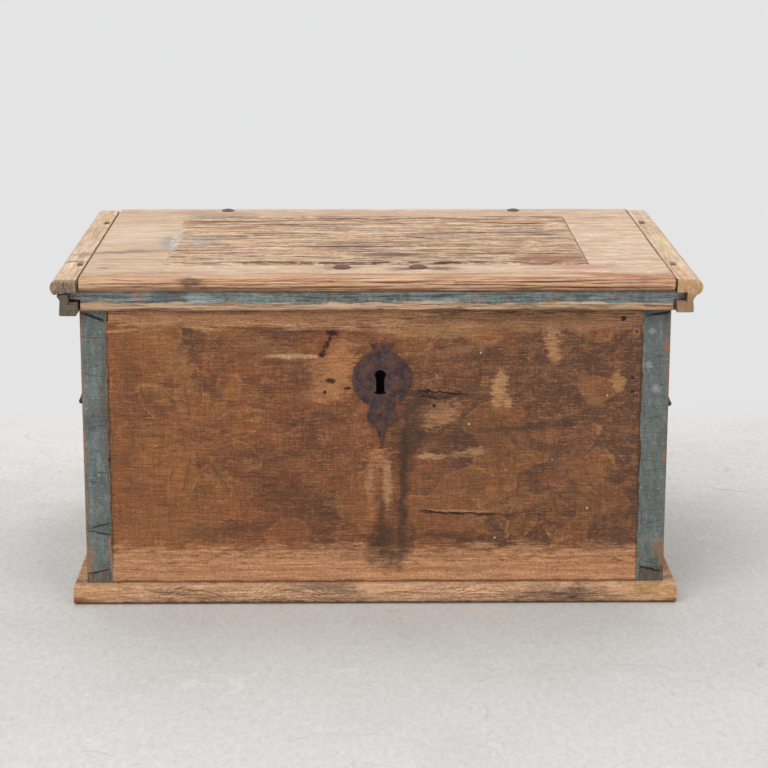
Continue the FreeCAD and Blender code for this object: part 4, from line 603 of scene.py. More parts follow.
def back_board_finish(colours, sizes):
    """Unpainted pine, greyed and dusty, as the back of a chest against a wall; knots and water marks."""
    s = Surface("dusty_pine_back", 0.82)
    s.pine("x", (0, BACK + 90, 120), sizes.front_ring, colours.inner_pale, colours.inner_dark)
    outside = s.past("y", BACK - 2.0, 0.5)
    for x, z, size in ((-210, 120, 9), (64, 248, 11), (242, 90, 8), (-20, 60, 6), (-120, 286, 7)):
        swirl = s.patch((x, BACK, z), (size * 3.2, 400, size * 1.5), 0.5, 0.3, (12, 12, 12))
        s.cover(swirl, colours.inner_dark, 0.6)
        s.cover(s.patch((x, BACK, z), (size, 400, size * 0.8), 0.15, 0.15), "#5b3a24", 0.85)
        s.cover(s.patch((x, BACK, z), (size * 0.5, 400, size * 0.4), 0.3, 0.3, (4, 4, 4)), "#3a2417", 0.8)
    s.cover(outside, "#8b7058", 0.5)
    s.cover((outside, s.blots((110, 110, 40), 0.45, 0.65, 5.0)), "#5f4c3c", 0.45)
    s.dapple(outside, ((60, 60, 8), 0.56, 0.66, 0.7, 5, "#a98c6c", 0.4))
    s.cover((outside, s.before("z", 58, 20, 26, (50, 50, 50))), "#4f4034", 0.5)
    s.shade(s.mottle((26, 26, 1.8), 4.0, 0.75, 8.0), 0.84, 1.14, outside)
    ends = s.most(s.before("x", LEFT + 1.0, 0.3), s.past("x", RIGHT - 1.0, 0.3))
    s.blue_coat(ends, colours)
    worn_side(s, ends)
    s.wood_relief(0.3, 0.15, 0.6)
    return s.finish()


def lid_figure(s, colours, sizes, grain):
    """The figure of the lid's bleached pine, with its grain along X for the board or Y for the cleats."""
    heart = (0, -30, LID_TOP - 95) if grain == "x" else (0, 0, LID_TOP - 70)
    s.pine(grain, heart, sizes.lid_ring, colours.lid_pale, colours.lid_dark, contrast=0.45, fibre=0.4, coarse=2.2)
    s.shade(s.mottle((11.0, 11.0, 11.0), 4.0, 0.85, 4.0), 0.84, 1.10)
    along = (30, 6, 6) if grain == "x" else (6, 30, 6)
    s.shade(s.mottle(along, 4.0, 0.8, 24.0), 0.80, 1.16)


def lid_finish(colours, sizes):
    """Sun-bleached bare pine, with blue-green distemper left in the hollow of its moulding."""
    s = Surface("bleached_pine_lid", 0.74)
    lid_figure(s, colours, sizes, "x")
    s.dapple(None,
             ((90, 55, 60), 0.46, 0.66, 0.7, 0, "#c8a586", 0.5),
             ((160, 14, 14), 0.50, 0.62, 0.7, 3, "#b58e6e", 0.5),
             ((70, 40, 40), 0.54, 0.68, 0.7, 13, "#e6d3be", 0.5),
             ((46, 12, 12), 0.60, 0.66, 0.75, 23, "#8f6f58", 0.45))
    # Handled, reddened and cracked along the front edge
    front = s.before("y", NOSE + 27, 12, 12, (70, 12, 12))
    s.cover(front, colours.nose_wood, 0.35)
    s.dapple(front, ((120, 9, 9), 0.48, 0.60, 0.7, 34, "#b8785a", 0.5))
    nose = s.before("y", NOSE + 6.0, 3, 3, (60, 8, 8))
    s.cover(nose, colours.nose_wood, 0.6)
    # The nose's lower edge, where it rounds under, is darkened: painted shade under the nose
    s.cover((s.before("z", LID_TOP - 11.8, 2.2, 2.5, (50, 50, 50)), nose), "#8a5538", 0.7)
    streaks = s.blots((90, 3.6, 1.7), 0.54, 0.60, 4.0, 0.7, 6.0)
    s.cover((streaks, front), "#854e35", 0.6)
    s.cover((s.blots((130, 9.0, 2.6), 0.54, 0.60, 4.0, 0.7, 16.0), nose), "#ecc7a0", 0.7)
    s.cover((s.blots((70, 60, 1.3), 0.58, 0.61, 4.0, 0.7, 26.0), nose), "#4b2c1f", 0.7)
    splits = s.gather(s.line((x - half, z), (x + half, z), 1.6, 1.2, 50) for x, z, half in (
        (-232, 374.5, 90), (-60, 370.5, 76), (102, 373, 84), (246, 370, 70), (20, 376, 60), (-150, 369, 54),
        (180, 376.5, 44), (-280, 371, 36)))
    splits = s.both(splits, nose)
    s.cover(splits, "#432619", 0.8)
    low = s.before("z", LID_TOP - 30.2, 0.6)
    foot = s.both(low, s.before("y", FRONT + 2, 1.0))
    # The underside never saw the sun: browner, as the inside of the box is
    s.cover((low, s.past("y", FRONT + 2, 1.0)), colours.inner_dark, 0.35)
    s.cover(foot, "#cfab8a", 0.8)
    s.dapple(foot,
             ((50, 50, 2.0), 0.50, 0.58, 0.7, 22, "#7d553c", 0.75),
             ((34, 34, 3.0), 0.56, 0.62, 0.7, 52, "#e3bd98", 0.6))
    # A dark line along the foot's lower edge: painted shadow in the gap where the lid meets the box's front
    s.cover((foot, s.before("z", LID_LOW[2] + 2.2, 1.2, 1.4, (30, 30, 6))), "#6b4833", 0.7)
    # A dark seam along the right cleat; the left half is greyer
    s.cover(s.past("x", 326.7, 0.4, 0.6, (9, 60, 9)), "#4a3527", 0.85)
    s.cover(s.before("x", -170, 120, 40), "#b3967b", 0.25)
    lid_marks(s, colours)
    # The hollow of the moulding keeps its paint; the foot below it is worn bare in waves
    top_edge = s.before("z", LID_TOP - 14.6, 0.6, 1.4, (26, 26, 26))
    bottom_edge = s.past("z", LID_TOP - 29.4, 0.6, 3.4, (40, 40, 60), shift=3.0)
    hollow = s.both(top_edge, bottom_edge, s.before("y", NOSE + 13.5, 1.0))
    s.blue_coat(hollow, colours)
    s.dapple(hollow,
             ((40, 40, 9), 0.48, 0.62, 0.7, 31, "#8c989b", 0.65),
             ((24, 24, 6), 0.55, 0.61, 0.75, 8, "#a8806b", 0.55),
             ((44, 44, 5), 0.54, 0.62, 0.7, 1, "#46524d", 0.6))
    s.cover((hollow, s.patch((-228, NOSE + 9, 358), (20, 20, 8), 0.4, 0.6, (9, 9, 5))), "#4d5a58", 0.6)
    s.cover((hollow, s.patch((-262, NOSE + 9, 358), (8, 20, 8), 0.4, 0.6, (9, 9, 5))), "#a9705a", 0.35)
    s.cover((hollow, s.patch((-196, NOSE + 9, 357), (16, 20, 8), 0.4, 0.6, (9, 9, 5))), "#a3aaab", 0.6)
    # A dark band along the top of the hollow: painted shadow under the nose
    s.cover((hollow, s.past("z", LID_TOP - 16.6, 0.8, 0.6, (20, 20, 20))), "#4d3a2e", 0.7)
    s.shade(s.mottle((3.0, 3.0, 2.0), 4.0, 0.8, 61.0), 0.98, 1.62, hollow)
    s.wood_relief(0.4, 0.15, 0.9)
    s.relief(s.both(streaks, front), -0.8)
    s.relief(splits, -1.2)
    return s.finish()


def lid_marks(s, colours):
    """Rust and water stains, knots, scratches and grey streaks on the lid's top."""
    for x, y, wide, deep, turn, code, strength in (
            (-42, -168, 24, 12, 0, "#6f4a38", 0.55), (50, -170, 38, 11, 0, "#6b4636", 0.85),
            (14, -104, 40, 8, 0, "#5a4448", 0.6), (235, -160, 46, 14, 0, "#b5786a", 0.6),
            (268, -210, 54, 9, -14, "#ab5f4b", 0.65), (-290, -73, 44, 9, 12, "#837870", 0.75),
            (-246, -20, 10, 46, 6, "#8d939a", 0.6), (-305, -167, 7, 4, 0, "#8a6448", 0.7),
            (-203, -228, 20, 9, 0, "#4f382c", 0.75), (-188, 172, 40, 16, 0, "#8a8a88", 0.55),
            (-290, 40, 34, 60, 0, "#e2cfbb", 0.4), (0, 178, 300, 20, 0, "#a98a72", 0.4),
            (60, -205, 90, 12, 0, "#b98a68", 0.35), (-225, 150, 14, 50, 0, "#a89885", 0.5)):
        spot = s.patch((x, y, LID_TOP), (wide, deep, 9), 0.5, 0.9, (26, 12, 9), (0, 0, turn), strength)
        s.cover(spot, code)
    for start, end, width, code, strength in (
            ((246, 145), (318, 151), 3.4, "#6a5444", 0.75), ((-320, -196), (-170, -192), 3.0, "#9a6044", 0.6),
            ((-150, -199), (40, -203), 3.0, "#a3694c", 0.55), ((90, -196), (300, -199), 3.0, "#96553e", 0.6),
            ((-318, -120), (-262, -112), 4.0, "#9a8472", 0.45), ((252, -60), (316, -56), 4.0, "#ab8d74", 0.45),
            ((-310, 110), (-250, 114), 4.0, "#a98d76", 0.4)):
        s.cover(s.line(start, end, width, 3.0, 50, "z", strength), code)
    flakes = s.both(s.line((-236, -62), (-241, 40), 10, 4.0, 14, "z"), s.blots((3.5, 9, 9), 0.52, 0.58, 4.0, 0.75, 3.0))
    s.cover(flakes, "#e9e6df", 0.8)


def field_finish(colours, sizes):
    """The lid's raised middle: soft early wood washed out between hard ridges, streaked by damp."""
    s = Surface("furrowed_pine_field", 0.85)
    s.pine("x", (0, -30, LID_TOP - 60), sizes.lid_ring, colours.field_pale, colours.field_dark, stretch=14.0,
           contrast=0.15, fibre=0.25, coarse=2.6)
    s.dapple(None,
             ((120, 18, 20), 0.48, 0.60, 0.7, 4, "#d6a878", 0.55),
             ((130, 20, 20), 0.52, 0.62, 0.7, 7, "#b98471", 0.6),
             ((90, 13, 20), 0.55, 0.64, 0.7, 11, "#978e90", 0.65),
             ((70, 16, 20), 0.58, 0.66, 0.7, 47, "#e6cfa4", 0.35))
    inner = s.both(s.past("x", LEFT + 96, 1, 2), s.before("x", RIGHT - 92, 1, 2),
                   s.past("y", FRONT + 59, 1, 2), s.before("y", BACK - 71, 1, 2))
    # The furrows lie a little below the ridges, inside the sloping border; what lies lower is darkened by its height,
    # painted shade in the furrows
    deep = s.spread(s.axes["z"], (LID_TOP + 2.85) * MM, (LID_TOP + 2.4) * MM)
    s.cover((inner, deep), colours.field_dark, 0.6)
    s.dapple(None,
             ((60, 6.5, 9), 0.53, 0.59, 0.75, 2, "#84604a", 0.7),
             ((90, 4.6, 9), 0.54, 0.59, 0.75, 19, "#4e3427", 0.85),
             ((44, 5.0, 9), 0.53, 0.60, 0.75, 27, "#efd6b8", 0.6),
             ((80, 7, 20), 0.62, 0.67, 0.65, 15, "#4d3b40", 0.75))
    # A dark line down the field's right slope: painted shade where the raised field steps down to the margin
    s.cover(s.past("x", RIGHT - 88.6, 0.8, 1.5, (6, 30, 6)), "#5b4334", 0.7)
    s.cover((s.past("y", BACK - 70, 1.0, 2.0), s.past("x", 200, 4)), "#5b4334", 0.6)
    for x, y, wide, deep, code, strength in (
            (-33, -57, 62, 5, "#4b383e", 0.8), (-177, 105, 60, 5, "#4f382c", 0.8), (14, -104, 44, 10, "#4f3d44", 0.8),
            (206, -125, 46, 24, "#8f5a4a", 0.7), (182, 94, 30, 5, "#4a352c", 0.85), (120, 120, 36, 6, "#6b4a3b", 0.5),
            (52, -1, 9, 3, "#3a2920", 0.9), (-236, -20, 5, 90, "#cfcac1", 0.5), (-205, -20, 22, 40, "#9aa0a4", 0.4),
            (206, 20, 28, 4, "#4b3b38", 0.75), (215, 142, 26, 5, "#7d5a34", 0.7), (-150, 60, 60, 8, "#a57562", 0.5),
            (20, 60, 40, 7, "#9aa0a6", 0.45)):
        s.cover(s.patch((x, y, LID_TOP), (wide, deep, 12), 0.5, 1.0, (30, 6, 12), strength=strength), code)
    cracks = s.gather(s.line(start, end, 4.6, 3.0, 60, "z") for start, end in (
        ((-120, -54), (241, -56)), ((-215, -147), (241, -146)), ((-230, 84), (20, 88)), ((60, 30), (239, 34)),
        ((-238, 128), (120, 131)), ((-60, 8), (150, 4)), ((90, -100), (240, -98))))
    cracks = s.both(cracks, s.blots((40, 20, 20), 0.40, 0.50, 4.0, 0.7, 37.0))
    s.cover(cracks, "#3f2a20", 0.85)
    s.shade(s.mottle((5.0, 5.0, 5.0), 4.0, 0.85, 4.0), 0.66, 1.28)
    s.relief(s.fibres, 0.6)
    s.relief(s.grit, 0.9)
    s.relief(cracks, -1.2)
    return s.finish()


def cleat_finish(colours, sizes):
    """Bleached pine cleats with their grain across the lid; the left one's end is grey and dirty."""
    s = Surface("bleached_pine_cleats", 0.74)
    lid_figure(s, colours, sizes, "y")
    s.dapple(None,
             ((20, 80, 40), 0.46, 0.64, 0.7, 0, "#c09c7c", 0.5),
             ((5, 60, 20), 0.54, 0.62, 0.7, 51, "#a8835f", 0.35))
    s.cover(s.before("z", LID_TOP - 15, 3, 2), "#8a6f5a", 0.6)
    left = s.before("x", 0.0, 1.0)
    right = s.past("x", 0.0, 1.0)
    end = s.before("y", NOSE + 4.0, 2.0, 1.5, (6, 6, 6))
    rays = s.blots((1.6, 20, 9), 0.46, 0.56, 4.0, 0.7)
    specks = s.blots((4, 20, 4), 0.52, 0.58, 4.0, 0.8, 9.0)
    s.cover((end, left), "#957e6a", 0.85)
    s.cover((end, left, rays), "#4a3d30", 0.6)
    s.cover((end, left, s.before("z", LID_TOP - 15, 3, 1)), "#57544b", 0.7)
    s.cover((end, left, specks), "#3a3027", 0.4)
    s.cover((end, left, s.past("z", LID_TOP - 4, 2, 1)), "#b0947a", 0.6)
    s.cover((end, right), "#cda06f", 0.75)
    s.cover((end, right, rays), "#8f6a44", 0.35)
    s.cover((end, right, specks), "#7a5c3e", 0.25)
    s.cover((end, right, s.before("z", LID_TOP - 20, 4, 2)), "#7d6650", 0.5)
    s.cover((right, s.before("x", 329.6, 0.5, 0.5, (9, 60, 9))), "#5a4433", 0.7)
    for x, y, wide, deep, code, strength in (
            (-345, -122, 16, 4, "#6b5646", 0.7), (-338, -80, 10, 12, "#7d6a5c", 0.5),
            (343, 120, 18, 1.8, "#6f5742", 0.8), (-340, 60, 14, 40, "#b48e6d", 0.4),
            (345, -10, 14, 40, "#d8c48e", 0.4), (340, -190, 14, 30, "#c08f68", 0.4)):
        s.cover(s.patch((x, y, LID_TOP), (wide, deep, 12), 0.5, 0.8, (9, 22, 9), strength=strength), code)
    s.wood_relief(0.4, 0.12, 0.9)
    return s.finish()


def base_finish(colours, sizes):
    """Stained pine planks, scuffed along the front edge and orange where corners have broken off."""
    s = Surface("scuffed_pine_base", 0.66)
    s.pine("x", (40, BASE_LOW[1] - 10, 26), sizes.base_ring, colours.base_pale, colours.base_dark, stretch=11.0,
           waver=9.0, contrast=0.8, fibre=0.45)
    s.dapple(None,
             ((60, 30, 10), 0.50, 0.64, 0.7, 0, "#8b6a4f", 0.45),
             ((30, 30, 2.4), 0.55, 0.61, 0.75, 4, "#54392a", 0.65),
             ((40, 40, 4), 0.54, 0.61, 0.75, 8, "#e3bd98", 0.65))
    # Arched figure where the saw came near the heart: how steep it is, and its rings, one in 4.2 mm
    steepness, ring_turn = 8.0, 1500.0
    for middle, half in ((-95, 62), (-205, 44), (120, 50)):
        across = s.node("Math", (s.axes["x"], middle * MM), operation="SUBTRACT")
        squared = s.node("Math", (across, across), operation="MULTIPLY")
        arch = s.node("Math", (squared, steepness, s.axes["z"]), operation="MULTIPLY_ADD")
        arch = s.node("Math", (s.wander(arch, 3.0 * MM, (30, 30, 8)), ring_turn), operation="MULTIPLY")
        rings = s.spread(s.node("Math", (arch,), operation="SINE"), 0.35, 0.95)
        s.cover((rings, s.patch((middle, BASE_LOW[1], 10), (half, 40, 18), 0.7, 0.5)), "#6f4933", 0.6)
    # Darker along the floor, rubbed pale along the top, and bare inside the box
    s.cover(s.before("z", 3.6, 1.6, 3.4, (12, 12, 30)), "#65402c", 0.75)
    s.cover((s.past("z", 20.5, 1.5, 1.5, (30, 30, 30)), s.before("y", FRONT - 2, 1.5)), "#d8af8c", 0.4)
    floor_inside = s.both(s.past("z", 20.0, 1.0), s.past("x", LEFT + 20, 1), s.before("x", RIGHT - 20, 1),
                          s.past("y", FRONT + 20, 1), s.before("y", BACK - 20, 1))
    s.cover(floor_inside, colours.inner_pale, 0.6)
    for x, z, wide, deep, high, code, strength in (
            (BASE_LOW[0] + 20, 17, 34, 18, 8, "#bd8448", 0.45), (BASE_HIGH[0] - 20, 17, 36, 18, 8, "#c89655", 0.45),
            (BASE_LOW[0], 4, 12, 14, 6, "#8c4b33", 0.7), (BASE_HIGH[0], 4, 10, 14, 5, "#9a5239", 0.7),
            (212, 12, 40, 20, 7, "#463833", 0.75), (205, 13, 7, 12, 4, "#6b3325", 0.6),
            (-60, 20, 34, 20, 4, "#5f5149", 0.6), (-40, 15, 24, 20, 5, "#7b5c48", 0.4)):
        spot = s.patch((x, BASE_LOW[1], z), (wide, deep, high), 0.8, 0.9, (12, 10, 4), strength=strength)
        s.cover(spot, code)
    s.shade(s.mottle((3.4, 3.4, 3.4), 4.0, 0.85, 3.0), 0.70, 1.36)
    s.shade(s.mottle((24, 24, 1.6), 4.0, 0.75, 13.0), 0.8, 1.22)
    s.wood_relief(0.35, 0.2, 0.8)
    return s.finish()


def iron_finish(name, colours, rust, roughness, browned=0.0):
    """Wrought iron: forge-black under a skin of rust, pitted, with paler crusts where the rust is thick.

    Rust and browned, an even brown crust over all of it, are shares from 0 to 1.
    """
    s = Surface(name, roughness, 0.3)
    s.gloss = 0.5
    s.ground(colours.iron_dark)
    s.cover(s.blots((12, 12, 12), 0.5 - rust * 0.2, 0.62, 4.0, 0.7), colours.iron_rust, 0.85)
    s.cover(s.blots((5, 5, 5), 0.55, 0.62, 4.0, 0.75, 3.0), "#85503a", rust * 0.7)
    s.dapple(None, ((16, 16, 16), 0.54, 0.66, 0.7, 8, "#262433", 0.55))
    s.cover(s.blots((4, 4, 4), 0.64, 0.68, 4.0, 0.7, 28.0), "#9a7763", rust * 0.6)
    if browned:
        s.cover(browned, "#755140")
    s.shade(s.mottle((2.0, 2.0, 2.0), 3.0, 0.8, 5.0), 0.74, 1.28)
    s.relief(s.mottle((2.2, 2.2, 2.2), 4.0, 0.7), 0.6)
    s.relief(s.mottle((12, 12, 12), 2.0, 0.5), 0.8)
    return s.finish()


class CHEST_OT_finish_box(bpy.types.Operator):
    """Finish the box's four boards"""
    bl_idname = "chest.finish_box"
    bl_label = "Box boards"

    def execute(self, context):
        colours, sizes = context.scene.chest_colours, context.scene.chest_sizes
        dress(front_board_finish(colours, sizes), "front_board")
        dress(side_board_finish(colours, sizes), "left_side_board", "right_side_board")
        dress(back_board_finish(colours, sizes), "back_board")
        return {"FINISHED"}


class CHEST_OT_finish_base(bpy.types.Operator):
    """Finish the two planks of the base"""
    bl_idname = "chest.finish_base"
    bl_label = "Base planks"

    def execute(self, context):
        material = base_finish(context.scene.chest_colours, context.scene.chest_sizes)
        dress(material, "bottom_front_plank", "bottom_back_plank")
        return {"FINISHED"}


class CHEST_OT_finish_lid(bpy.types.Operator):
    """Finish the lid board and its cleats"""
    bl_idname = "chest.finish_lid"
    bl_label = "Lid and cleats"

    def execute(self, context):
        colours, sizes = context.scene.chest_colours, context.scene.chest_sizes
        dress(lid_finish(colours, sizes), "lid_board")
        dress(cleat_finish(colours, sizes), "lid_left_cleat", "lid_right_cleat")
        return {"FINISHED"}


class CHEST_OT_weather_field(bpy.types.Operator):
    """Model the furrowed field in the middle of the lid"""
    bl_idname = "chest.weather_field"
    bl_label = "Weathered field"

    def execute(self, context):
        sizes = context.scene.chest_sizes
        rim, rise, drop, squeeze = 4.5, 2.8, 3.1, 20.0
        width, depth = FIELD_RIGHT - FIELD_LEFT, FIELD_BACK - FIELD_FRONT
        centre = ((FIELD_LEFT + FIELD_RIGHT) / 2 * MM, (FIELD_FRONT + FIELD_BACK) / 2 * MM, LID_TOP * MM)
        bpy.ops.object.select_all(action="DESELECT")
        bpy.ops.mesh.primitive_grid_add(x_subdivisions=120, y_subdivisions=300, size=1.0, location=(0, 0, 0))
        field = context.object
        field.name = "lid_weathered_field"
        bpy.ops.object.mode_set(mode="EDIT")
        bpy.ops.mesh.select_all(action="SELECT")
        bpy.ops.transform.resize(value=((width - 2 * rim) * MM / squeeze, (depth - 2 * rim) * MM, 1.0))
        bpy.ops.object.mode_set(mode="OBJECT")
        # Squeezed along the grain while it is roughened, so that the furrows come out long
        for width_across, share in ((4.5, 1.0), (11.0, 0.8), (2.2, 0.5)):
            texture = bpy.data.textures.new("furrows", "CLOUDS")
            texture.noise_scale = width_across * MM
            texture.noise_depth = 2
            modifier = field.modifiers.new("furrows", "DISPLACE")
            modifier.texture = texture
            modifier.texture_coords = "LOCAL"
            modifier.direction = "Z"
            modifier.mid_level = 0.5
            modifier.strength = sizes.furrow * share
            bpy.ops.object.modifier_apply(modifier=modifier.name)
            bpy.data.textures.remove(texture)
        bpy.ops.object.mode_set(mode="EDIT")
        bpy.ops.mesh.select_all(action="SELECT")
        bpy.ops.transform.resize(value=(squeeze, 1.0, 1.0))
        bpy.ops.transform.translate(value=(centre[0], centre[1], (LID_TOP + rise) * MM))
        # The border slopes down to just under the lid's top all round
        bpy.ops.mesh.select_all(action="DESELECT")
        bpy.ops.mesh.select_mode(type="EDGE")
        bpy.ops.mesh.select_non_manifold(extend=False)
        bpy.ops.mesh.extrude_edges_move(TRANSFORM_OT_translate={"value": (0, 0, -drop * MM)})
        bpy.ops.transform.resize(value=(width / (width - 2 * rim), depth / (depth - 2 * rim), 1.0),
                                 center_override=centre)
        bpy.ops.mesh.edge_face_add()
        bpy.ops.mesh.mark_sharp()
        bpy.ops.mesh.select_all(action="SELECT")
        bpy.ops.mesh.normals_make_consistent(inside=False)
        bpy.ops.object.mode_set(mode="OBJECT")
        bpy.ops.object.shade_smooth()
        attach(field, "lid")
        dress(field_finish(context.scene.chest_colours, sizes), field.name)
        return {"FINISHED"}


class CHEST_OT_finish_iron(bpy.types.Operator):
    """Finish the escutcheon, the lock, the hinges, the handles and every nail"""
    bl_idname = "chest.finish_iron"
    bl_label = "Ironwork"

    def execute(self, context):
        colours = context.scene.chest_colours
        dress(iron_finish("rusted_wrought_iron_plate", colours, 0.7, 0.62), "escutcheon_plate")
        dress(iron_finish("rusted_wrought_iron", colours, 0.55, 0.66),
              "escutcheon_nails", "lid_strap_nails", "back_strap_nails", "lid_staple",
              *(side + part for part in ("_lid_strap", "_back_strap", "_hinge_pin", "_handle_eyes", "_handle_bail")
                for side in ("left", "right")))
        dress(iron_finish("rusty_brown_nail_heads", colours, 0.9, 0.7, 0.7),
              "staple_rivets", "strap_rivets", "cleat_nails", "bottom_nails")
        dress(iron_finish("greasy_lock_iron", colours, 0.2, 0.48),
              "lock_plate", "lock_cover", "lock_key_post", "lock_bolt", "lock_bolt_keepers", "lock_spring",
              "lock_nails", "lock_cover_rivets")
        return {"FINISHED"}


class CHEST_OT_stage(bpy.types.Operator):
    """Lay the pale floor and backdrop, and set the lamps and the camera"""
    bl_idname = "chest.stage"
    bl_label = "Stage"

    def execute(self, context):
        self.lay_floor(context)
        self.light(context)
        self.set_camera(context)
        context.scene.view_settings.view_transform = "Standard"
        return {"FINISHED"}

    def lay_floor(self, context):
        """Lay a floor whose back edge is pulled up in a long curve behind the chest."""
        wide, deep, ahead = 14.0, 8.6, -0.7
        bpy.ops.object.select_all(action="DESELECT")
        bpy.ops.mesh.primitive_plane_add(size=1.0, location=(0, 0, 0))
        sweep = context.object
        sweep.name = "floor_sweep"
        bpy.ops.object.mode_set(mode="EDIT")
        bpy.ops.mesh.select_all(action="SELECT")
        bpy.ops.transform.resize(value=(wide, deep, 1.0))
        bpy.ops.transform.translate(value=(0, ahead, 0))
        bpy.ops.mesh.select_all(action="DESELECT")
        bpy.ops.object.mode_set(mode="OBJECT")
        for edge in sweep.data.edges:
            edge.select = all(sweep.data.vertices[index].co.y > 0 for index in edge.vertices)
        bpy.ops.object.mode_set(mode="EDIT")
        bpy.ops.mesh.select_mode(type="EDGE")
        steps, radius, wall = 14, 1.3, 4.0
        for step in range(steps):
            low, high = (math.pi / 2 * value / steps for value in (step, step + 1))
            move = (0, radius * (math.sin(high) - math.sin(low)), radius * (math.cos(low) - math.cos(high)))
            bpy.ops.mesh.extrude_edges_move(TRANSFORM_OT_translate={"value": move})
        bpy.ops.mesh.extrude_edges_move(TRANSFORM_OT_translate={"value": (0, 0, wall)})
        bpy.ops.mesh.select_all(action="SELECT")
        bpy.ops.mesh.normals_make_consistent(inside=False)
        bpy.ops.object.mode_set(mode="OBJECT")
        bpy.ops.object.shade_smooth()
        dress(self.floor_finish(context.scene.chest_colours), sweep.name)

    def light(self, context):
        """Hang three large soft lamps in an even glow, behind which the eye sees the backdrop's colour."""
        world = bpy.data.worlds.new("studio")
        context.scene.world = world
        world.use_nodes = True
        tree = world.node_tree
        tree.nodes.clear()
        glow = add(tree, "Background", {"Color": (1.0, 1.0, 1.0, 1.0), "Strength": 0.45})
        backdrop = tuple(context.scene.chest_colours.backdrop) + (1.0,)
        seen = add(tree, "Background", {"Color": backdrop, "Strength": 1.0})
        mixed = add(tree, "MixShader", {0: self.seen_rays(tree), 1: glow.outputs[0], 2: seen.outputs[0]})
        add(tree, "OutputWorld", {0: mixed.outputs[0]})
        for name, place, power, size in (("key_lamp", (-1.9, -2.6, 3.0), 84.0, 3.0),
                                         ("fill_lamp", (2.6, -2.4, 2.4), 42.0, 3.0),
                                         ("top_lamp", (0.0, 1.5, 3.2), 51.0, 3.0)):
            bpy.ops.object.light_add(type="AREA", location=place)
            lamp = context.object
            lamp.name = name
            lamp.data.energy = power
            lamp.data.size = size
            aim = Vector((0.0, 0.0, 0.2)) - Vector(place)
            lamp.rotation_euler = aim.to_track_quat("-Z", "Y").to_euler()

    def set_camera(self, context):
        """Set the camera where the photo was taken from, at the place, turn and focal length that a fit to the corners
        of lid, box and base gave.
        """
        place = Vector((-25.63, -2438.68, 847.05)) * MM
        focal_pixels, photo_width, sensor = 2070.0, 768, 36.0
        bpy.ops.object.camera_add(location=(0, 0, 0))
        camera = context.object
        camera.name = "photo_camera"
        yaw, pitch, roll = math.radians(0.858), math.radians(12.281), math.radians(0.107)
        ahead = Vector((math.sin(yaw) * math.cos(pitch), math.cos(yaw) * math.cos(pitch), -math.sin(pitch)))
        across = Vector((math.cos(yaw), -math.sin(yaw), 0.0))
        above = across.cross(ahead)
        right = across * math.cos(roll) + above * math.sin(roll)
        up = above * math.cos(roll) - across * math.sin(roll)
        turn = Matrix((right, up, -ahead)).transposed().to_4x4()
        camera.matrix_world = Matrix.Translation(place) @ turn
        camera.data.sensor_width = sensor
        camera.data.lens = focal_pixels * sensor / photo_width
        camera.data.shift_y = -0.12
        camera.data.clip_end = 50.0
        context.scene.camera = camera

    def seen_rays(self, tree):
        """Return 1 for what the eye sees, straight on, mirrored or through glass."""
        rays = add(tree, "LightPath").outputs
        mirrored = add(tree, "Math", {0: rays["Is Camera Ray"], 1: rays["Is Glossy Ray"]}, operation="MAXIMUM")
        return add(tree, "Math", {0: mirrored.outputs[0], 1: rays["Is Transmission Ray"]},
                   operation="MAXIMUM").outputs[0]

    def floor_finish(self, colours):
        """Pale painted studio floor, faintly scuffed, that runs up into an even backdrop."""
        s = Surface("pale_studio_floor", 0.75)
        s.ground(colours.floor)
        # Lighter from behind the chest's middle backwards: painted light that thins the chest's shadow on the floor
        # behind it
        s.cover(s.past("y", 120, 260), "#eceae6", 0.75)
        s.dapple(None,
                 ((320, 320, 320), 0.42, 0.64, 0.75, 0, "#cbcac6", 0.45),
                 ((60, 110, 60), 0.54, 0.68, 0.85, 5, "#dfdedc", 0.35),
                 ((8, 20, 8), 0.60, 0.66, 0.8, 15, "#bdbbb6", 0.5))
        s.cover(s.blots((5, 9, 5), 0.72, 0.75, 3.0, 0.6, 21.0), "#6f6c68", 0.7)
        for level, shift, code in ((0.5, 71.0, "#e4e3e1"), (0.52, 75.0, "#bdbbb6")):
            scratch = s.outline(s.mottle((420, 420, 420), 3.0, 0.5, shift), level, 0.003)
            s.cover((scratch, s.blots((60, 60, 60), 0.50, 0.58, 4.0, 0.7, shift)), code, 0.5)
        s.shade(s.mottle((7, 13, 7), 4.0, 0.85, 7.0), 0.88, 1.10)
        material = s.finish()
        tree = s.tree
        shader = next(node for node in tree.nodes if node.type == "BSDF_PRINCIPLED")
        output = next(node for node in tree.nodes if node.type == "OUTPUT_MATERIAL")
        even = add(tree, "Emission", {"Color": tuple(colours.backdrop) + (1.0,), "Strength": 1.0})
        far = s.both(s.past("y", 500, 220), self.seen_rays(tree))
        mixed = add(tree, "MixShader", {0: far, 1: shader.outputs[0], 2: even.outputs[0]})
        tree.links.new(mixed.outputs[0], output.inputs[0])
        return material


class CHEST_PT_panel(bpy.types.Panel):
    """Finishes of the chest"""
    bl_idname = "CHEST_PT_panel"
    bl_label = "Chest"
    bl_space_type = "VIEW_3D"
    bl_region_type = "UI"
    bl_category = "Chest"

    def draw(self, context):
        for operator in OPERATORS:
            self.layout.operator(operator.bl_idname)
        for group in (context.scene.chest_colours, context.scene.chest_sizes):
            box = self.layout.box()
            for name in group.__annotations__:
                box.prop(group, name)


OPERATORS = (CHEST_OT_stage, CHEST_OT_finish_box, CHEST_OT_finish_base, CHEST_OT_finish_lid, CHEST_OT_weather_field,
             CHEST_OT_finish_iron)
CLASSES = (ChestColours, ChestSizes) + OPERATORS + (CHEST_PT_panel,)


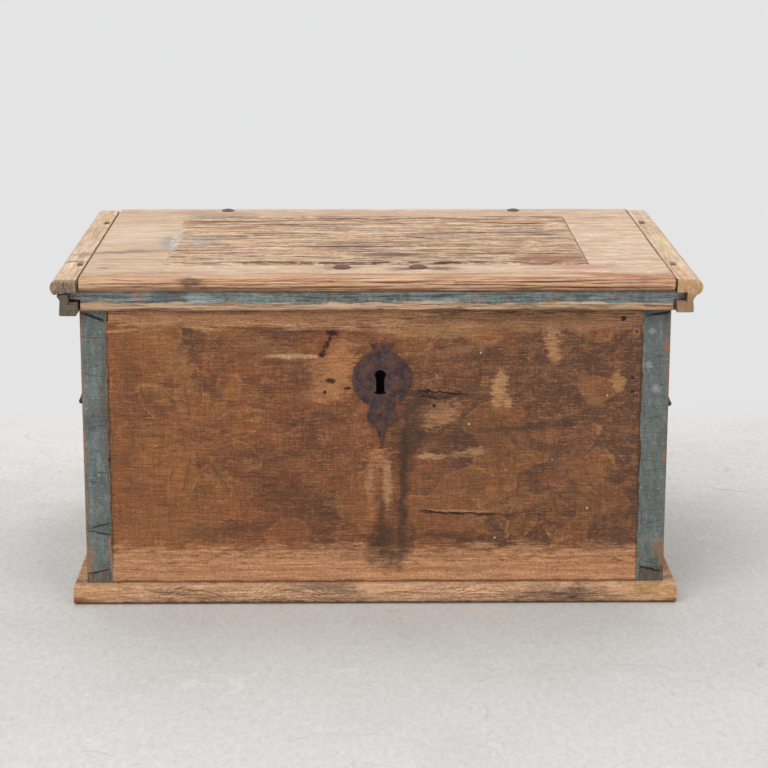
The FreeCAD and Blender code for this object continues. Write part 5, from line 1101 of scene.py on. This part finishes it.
def register():
    for cls in CLASSES:
        bpy.utils.register_class(cls)
    bpy.types.Scene.chest_colours = bpy.props.PointerProperty(type=ChestColours)
    bpy.types.Scene.chest_sizes = bpy.props.PointerProperty(type=ChestSizes)


def unregister():
    del bpy.types.Scene.chest_sizes
    del bpy.types.Scene.chest_colours
    for cls in reversed(CLASSES):
        bpy.utils.unregister_class(cls)


def main():
    register()
    bpy.ops.chest.stage()
    bpy.ops.chest.finish_box()
    bpy.ops.chest.finish_base()
    bpy.ops.chest.finish_lid()
    bpy.ops.chest.weather_field()
    bpy.ops.chest.finish_iron()


if __name__ == "__main__":
    main()
